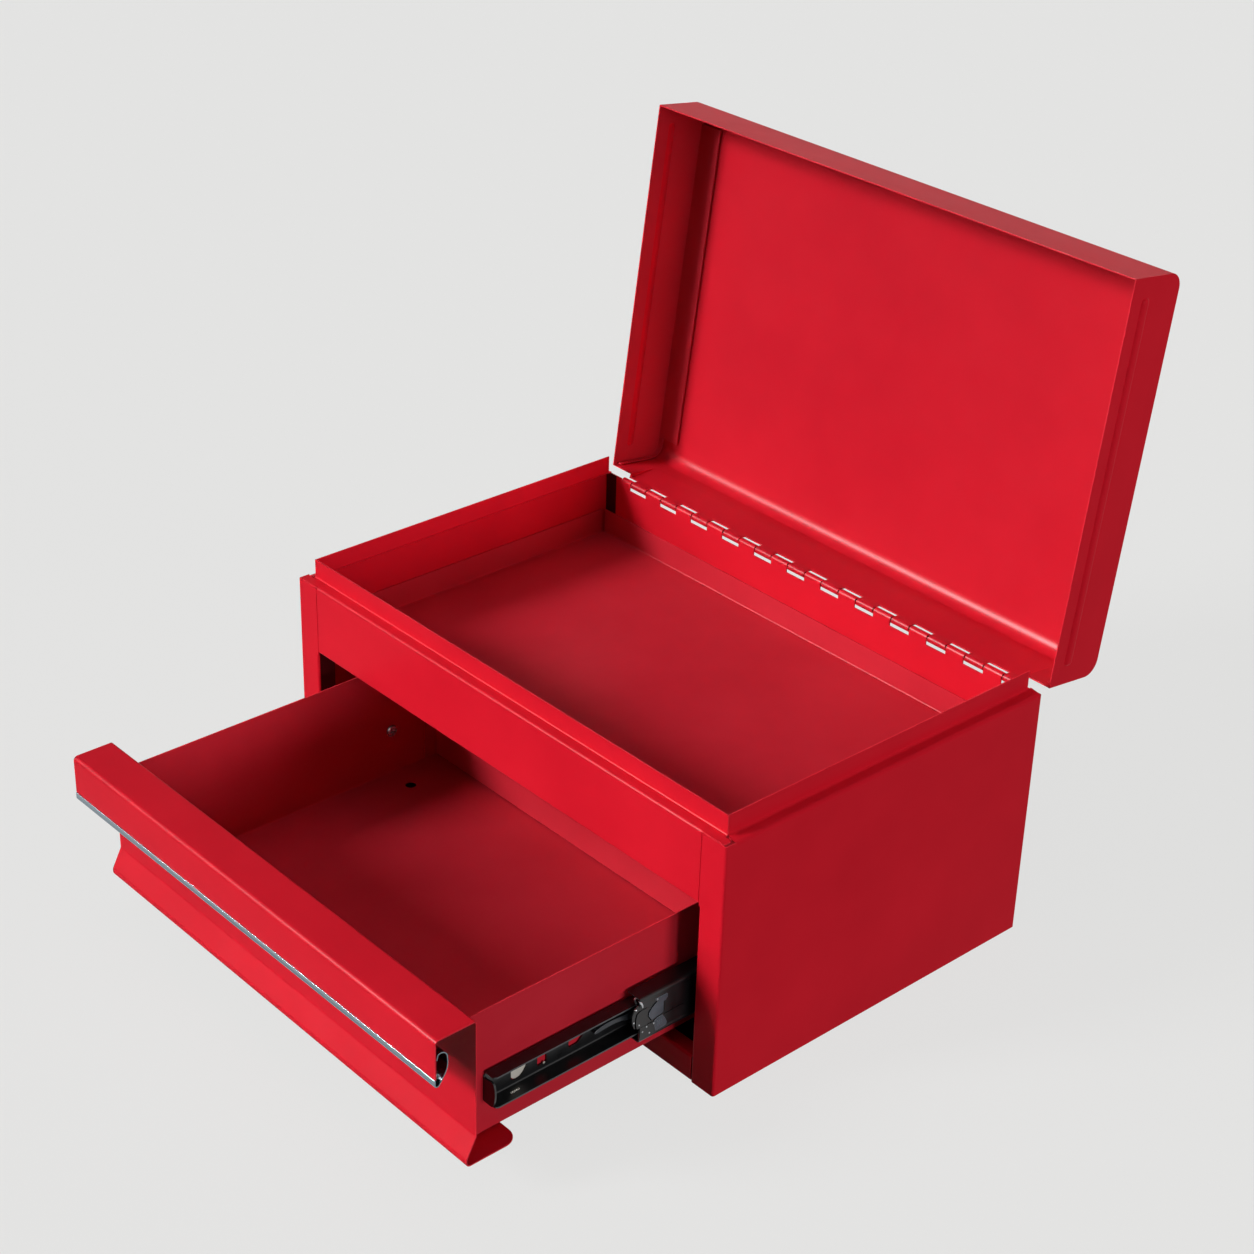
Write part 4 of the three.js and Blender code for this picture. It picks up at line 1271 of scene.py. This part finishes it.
def makeBracket(values):
    level, wall, web = slideSet["level"], values["wall"], values["web"]
    low, high = level - values["half"], level + values["half"]
    bracket = foldSheet("slideBracketSheet", "Y", (values["front"], slideSet["rear"]), [
        (wall, low - values["lip"]), (wall, low), (web, low),
        (web, high), (wall, high), (wall, high + values["lip"]),
    ], sheetSteel, values["round"])
    thicken(bracket, sheetSteel, edge=values["edge"])
    finishPair(bracket, "slideBracketHat", "bracket", "chest", "slide_bracket")


ballCage = {
    "length": 70.0, "steel": 0.4, "balls": 4, "round": 0.4,
    "inner": {"web": 204.85, "reach": 7.4, "level": 14.5, "radius": 2.3, "start": -54.22, "out": -121.333},
    "outer": {"web": 207.15, "reach": 6.6, "level": 20.0, "radius": 1.8, "start": -95.495, "out": -30.333},
    "edge": 0.1,
}


def makeCage(values, which):
    # a folded retainer that holds its balls in both edges
    place, level, length = values[which], slideSet["level"], values["length"]
    web, tip, start = place["web"] + values["steel"], place["web"] - place["reach"], place["start"]
    high, low = level + place["level"] + values["steel"] / 2, level - place["level"] - values["steel"] / 2
    cage = foldSheet("cageSheet", "Y", (start, start + length), [
        (tip, high), (web, high), (web, low), (tip, low),
    ], -values["steel"], values["round"], steps=3)
    thicken(cage, values["steel"], edge=values["edge"])
    for number in range(values["balls"]):
        for side in (-1, 1):
            deselectAll()
            middle = Vector((
                (place["web"] + tip) / 2 - 0.3,
                start + length * (number + 0.5) / values["balls"],
                level + side * place["level"],
            )) * mm
            bpy.ops.mesh.primitive_ico_sphere_add(subdivisions=3, radius=place["radius"] * mm,
                                                  location=middle)
            ball = bpy.context.object
            applyPlace()
            weld(cage, ball)
    finishPair(cage, "slideCage_" + which, "ball", which + "_cage", "ball_cage_" + which,
               place["out"], smooth=40)


boxScrew = {
    "headRadius": 4.8, "headHeight": 2.2, "wall": 190.5,
    "shankRadius": 2.0, "shankEnd": 193.6, "shankLap": 0.8,
    "recess": 2.9, "recessWidth": 1.1, "recessDepth": 1.4, "dome": 1.5,
    "edge": 0.12,
}


def makeScrews(values):
    y, z = drawerBox["screwPlace"]
    wall, height = values["wall"], values["headHeight"]
    head = addRod("X", (wall - height / 2 + 0.02, y, z), values["headRadius"], height, 40)
    editMode("FACE")
    pick("faces", lambda spot: spot.x < wall - height + 0.1)
    bpy.ops.mesh.bevel(offset=values["dome"] * mm, segments=6, affect="EDGES")
    objectMode()
    end, lap = values["shankEnd"], values["shankLap"]
    shank = addRod("X", ((wall + end) / 2 - lap / 2, y, z), values["shankRadius"],
                   end - wall + lap, 24)
    weld(head, shank)
    width, reach, depth = values["recessWidth"] / 2, values["recess"], values["recessDepth"]
    face = wall - height
    for across, up in ((width, reach), (reach, width)):
        cutAway(head, addBlock((face - 1, y - across, z - up), (face + depth, y + across, z + up)))
    breakEdges(head, values["edge"], angle=50)
    finishPair(head, "boxScrewTruss", "zinc", "drawer", "drawer_screw", drawerOut)


def makePin(values):
    pin = addRod("X", (0, values["y"], values["z"]), values["pin"], 2 * values["half"] - 0.2, 28)
    breakEdges(pin, values["pinEnd"], angle=50, segments=4)
    pin.name = "hingePinWire"
    finishPiece(pin, "pin", "chest", ["hinge_pin"])


makeRunner(slideRunner)
makeHolder(slideHolder)
makeLever(leverBlade)
makeMiddleRail(middleRail)
makeCatch(slideCatch)
makeClips(slideClips)
makeOuterRail(outerRail)
makeBracket(slideBracket)
makeScrews(boxScrew)
makeCage(ballCage, "inner")
makeCage(ballCage, "outer")
makePin(pianoHinge)
print("slides, screws and pin made")


studio = {
    "backdrop": "E4E4E3",
    "floorPaint": "F4F4F3",
    "floorGlow": 0.93,  # how far the floor keeps its own even tone where the object shades it
    "floorBounce": 0.08,  # what the floor gives back to the object
    "ambient": 0.1,
    "floorSize": 40.0,
    "floorDrop": 0.5,  # mm, below the object's feet
    "lampDistance": 3.0,
    "key": {"azimuth": -26.0, "elevation": 29.0, "angle": 16.0, "strength": 2.75},
    "front": {"azimuth": -30.0, "elevation": 10.0, "angle": 9.0, "strength": 0.85},
    "top": {"azimuth": 0.0, "elevation": 82.0, "angle": 60.0, "strength": 0.42},
    "fill": {"azimuth": 98.0, "elevation": 7.0, "angle": 14.0, "strength": 0.86},
    "side": {"azimuth": 85.0, "elevation": 3.0, "angle": 9.0, "strength": 0.7},
    # this one shows in the sheen only
    "gloss": {"azimuth": -27.0, "elevation": 32.0, "angle": 30.0, "strength": 60.0},
}


def addPaleRay(holder):
    # one where the camera, a mirror surface or glass looks at it, and zero where it only lights others
    path = addNode(holder, "ShaderNodeLightPath")
    seen = addNode(holder, "ShaderNodeMath", {"operation": "MAXIMUM"},
                   {0: path.outputs["Is Camera Ray"], 1: path.outputs["Is Glossy Ray"]})
    return addNode(holder, "ShaderNodeMath", {"operation": "MAXIMUM"},
                   {0: seen.outputs["Value"], 1: path.outputs["Is Transmission Ray"]})


# Matt paper sweep: pale and even where it is looked at, with the object's soft shadow, and dull
# where it would bounce light back at the object.
def addFloor():
    bpy.ops.mesh.primitive_plane_add(size=studio["floorSize"], location=(0, 0, -studio["floorDrop"] * mm))
    floor = bpy.context.object
    floor.name = "studioFloor"
    paper = newMaterial("palePaperSweep")
    seen = addPaleRay(paper)
    dull = addNode(paper, "ShaderNodeBsdfDiffuse", {"Color": (*[studio["floorBounce"]] * 3, 1)})
    pale = addNode(paper, "ShaderNodeBsdfDiffuse", {"Color": hexToLinear(studio["floorPaint"])})
    glow = addNode(paper, "ShaderNodeEmission", {"Color": hexToLinear(studio["backdrop"]), "Strength": 1.0})
    even = addNode(paper, "ShaderNodeMixShader", {0: studio["floorGlow"]},
                   {1: pale.outputs["BSDF"], 2: glow.outputs["Emission"]})
    mix = addNode(paper, "ShaderNodeMixShader", links={
        0: seen.outputs["Value"], 1: dull.outputs["BSDF"], 2: even.outputs["Shader"],
    })
    addNode(paper, "ShaderNodeOutputMaterial", links={"Surface": mix.outputs["Shader"]})
    floor.data.materials.append(paper)


def addWorld():
    world = bpy.data.worlds.new("studioWorld")
    world.use_nodes = True
    bpy.context.scene.world = world
    world.node_tree.nodes.clear()
    seen = addPaleRay(world)
    pale = addNode(world, "ShaderNodeBackground", {"Color": hexToLinear(studio["backdrop"]), "Strength": 1.0})
    lit = addNode(world, "ShaderNodeBackground", {"Color": (1, 1, 1, 1), "Strength": studio["ambient"]})
    mix = addNode(world, "ShaderNodeMixShader", links={
        0: seen.outputs["Value"], 1: lit.outputs["Background"], 2: pale.outputs["Background"],
    })
    addNode(world, "ShaderNodeOutputWorld", links={"Surface": mix.outputs["Shader"]})


def addSun(name, values):
    azimuth = math.radians(values["azimuth"])
    elevation = math.radians(values["elevation"])
    # from the front at zero, and from the right side at ninety
    place = Vector((
        math.sin(azimuth) * math.cos(elevation),
        -math.cos(azimuth) * math.cos(elevation),
        math.sin(elevation),
    ))
    turn = place.to_track_quat("Z", "Y").to_euler()
    bpy.ops.object.light_add(type="SUN", location=place * studio["lampDistance"], rotation=turn)
    lamp = bpy.context.object
    lamp.name = name
    lamp.data.angle = math.radians(values["angle"])
    lamp.data.energy = values["strength"]
    return lamp


addFloor()
addWorld()
for lampName in ("key", "front", "top", "fill", "side"):
    addSun(lampName + "Softbox", studio[lampName])
addSun("glossSoftbox", studio["gloss"]).visible_diffuse = False
print("floor and light placed")
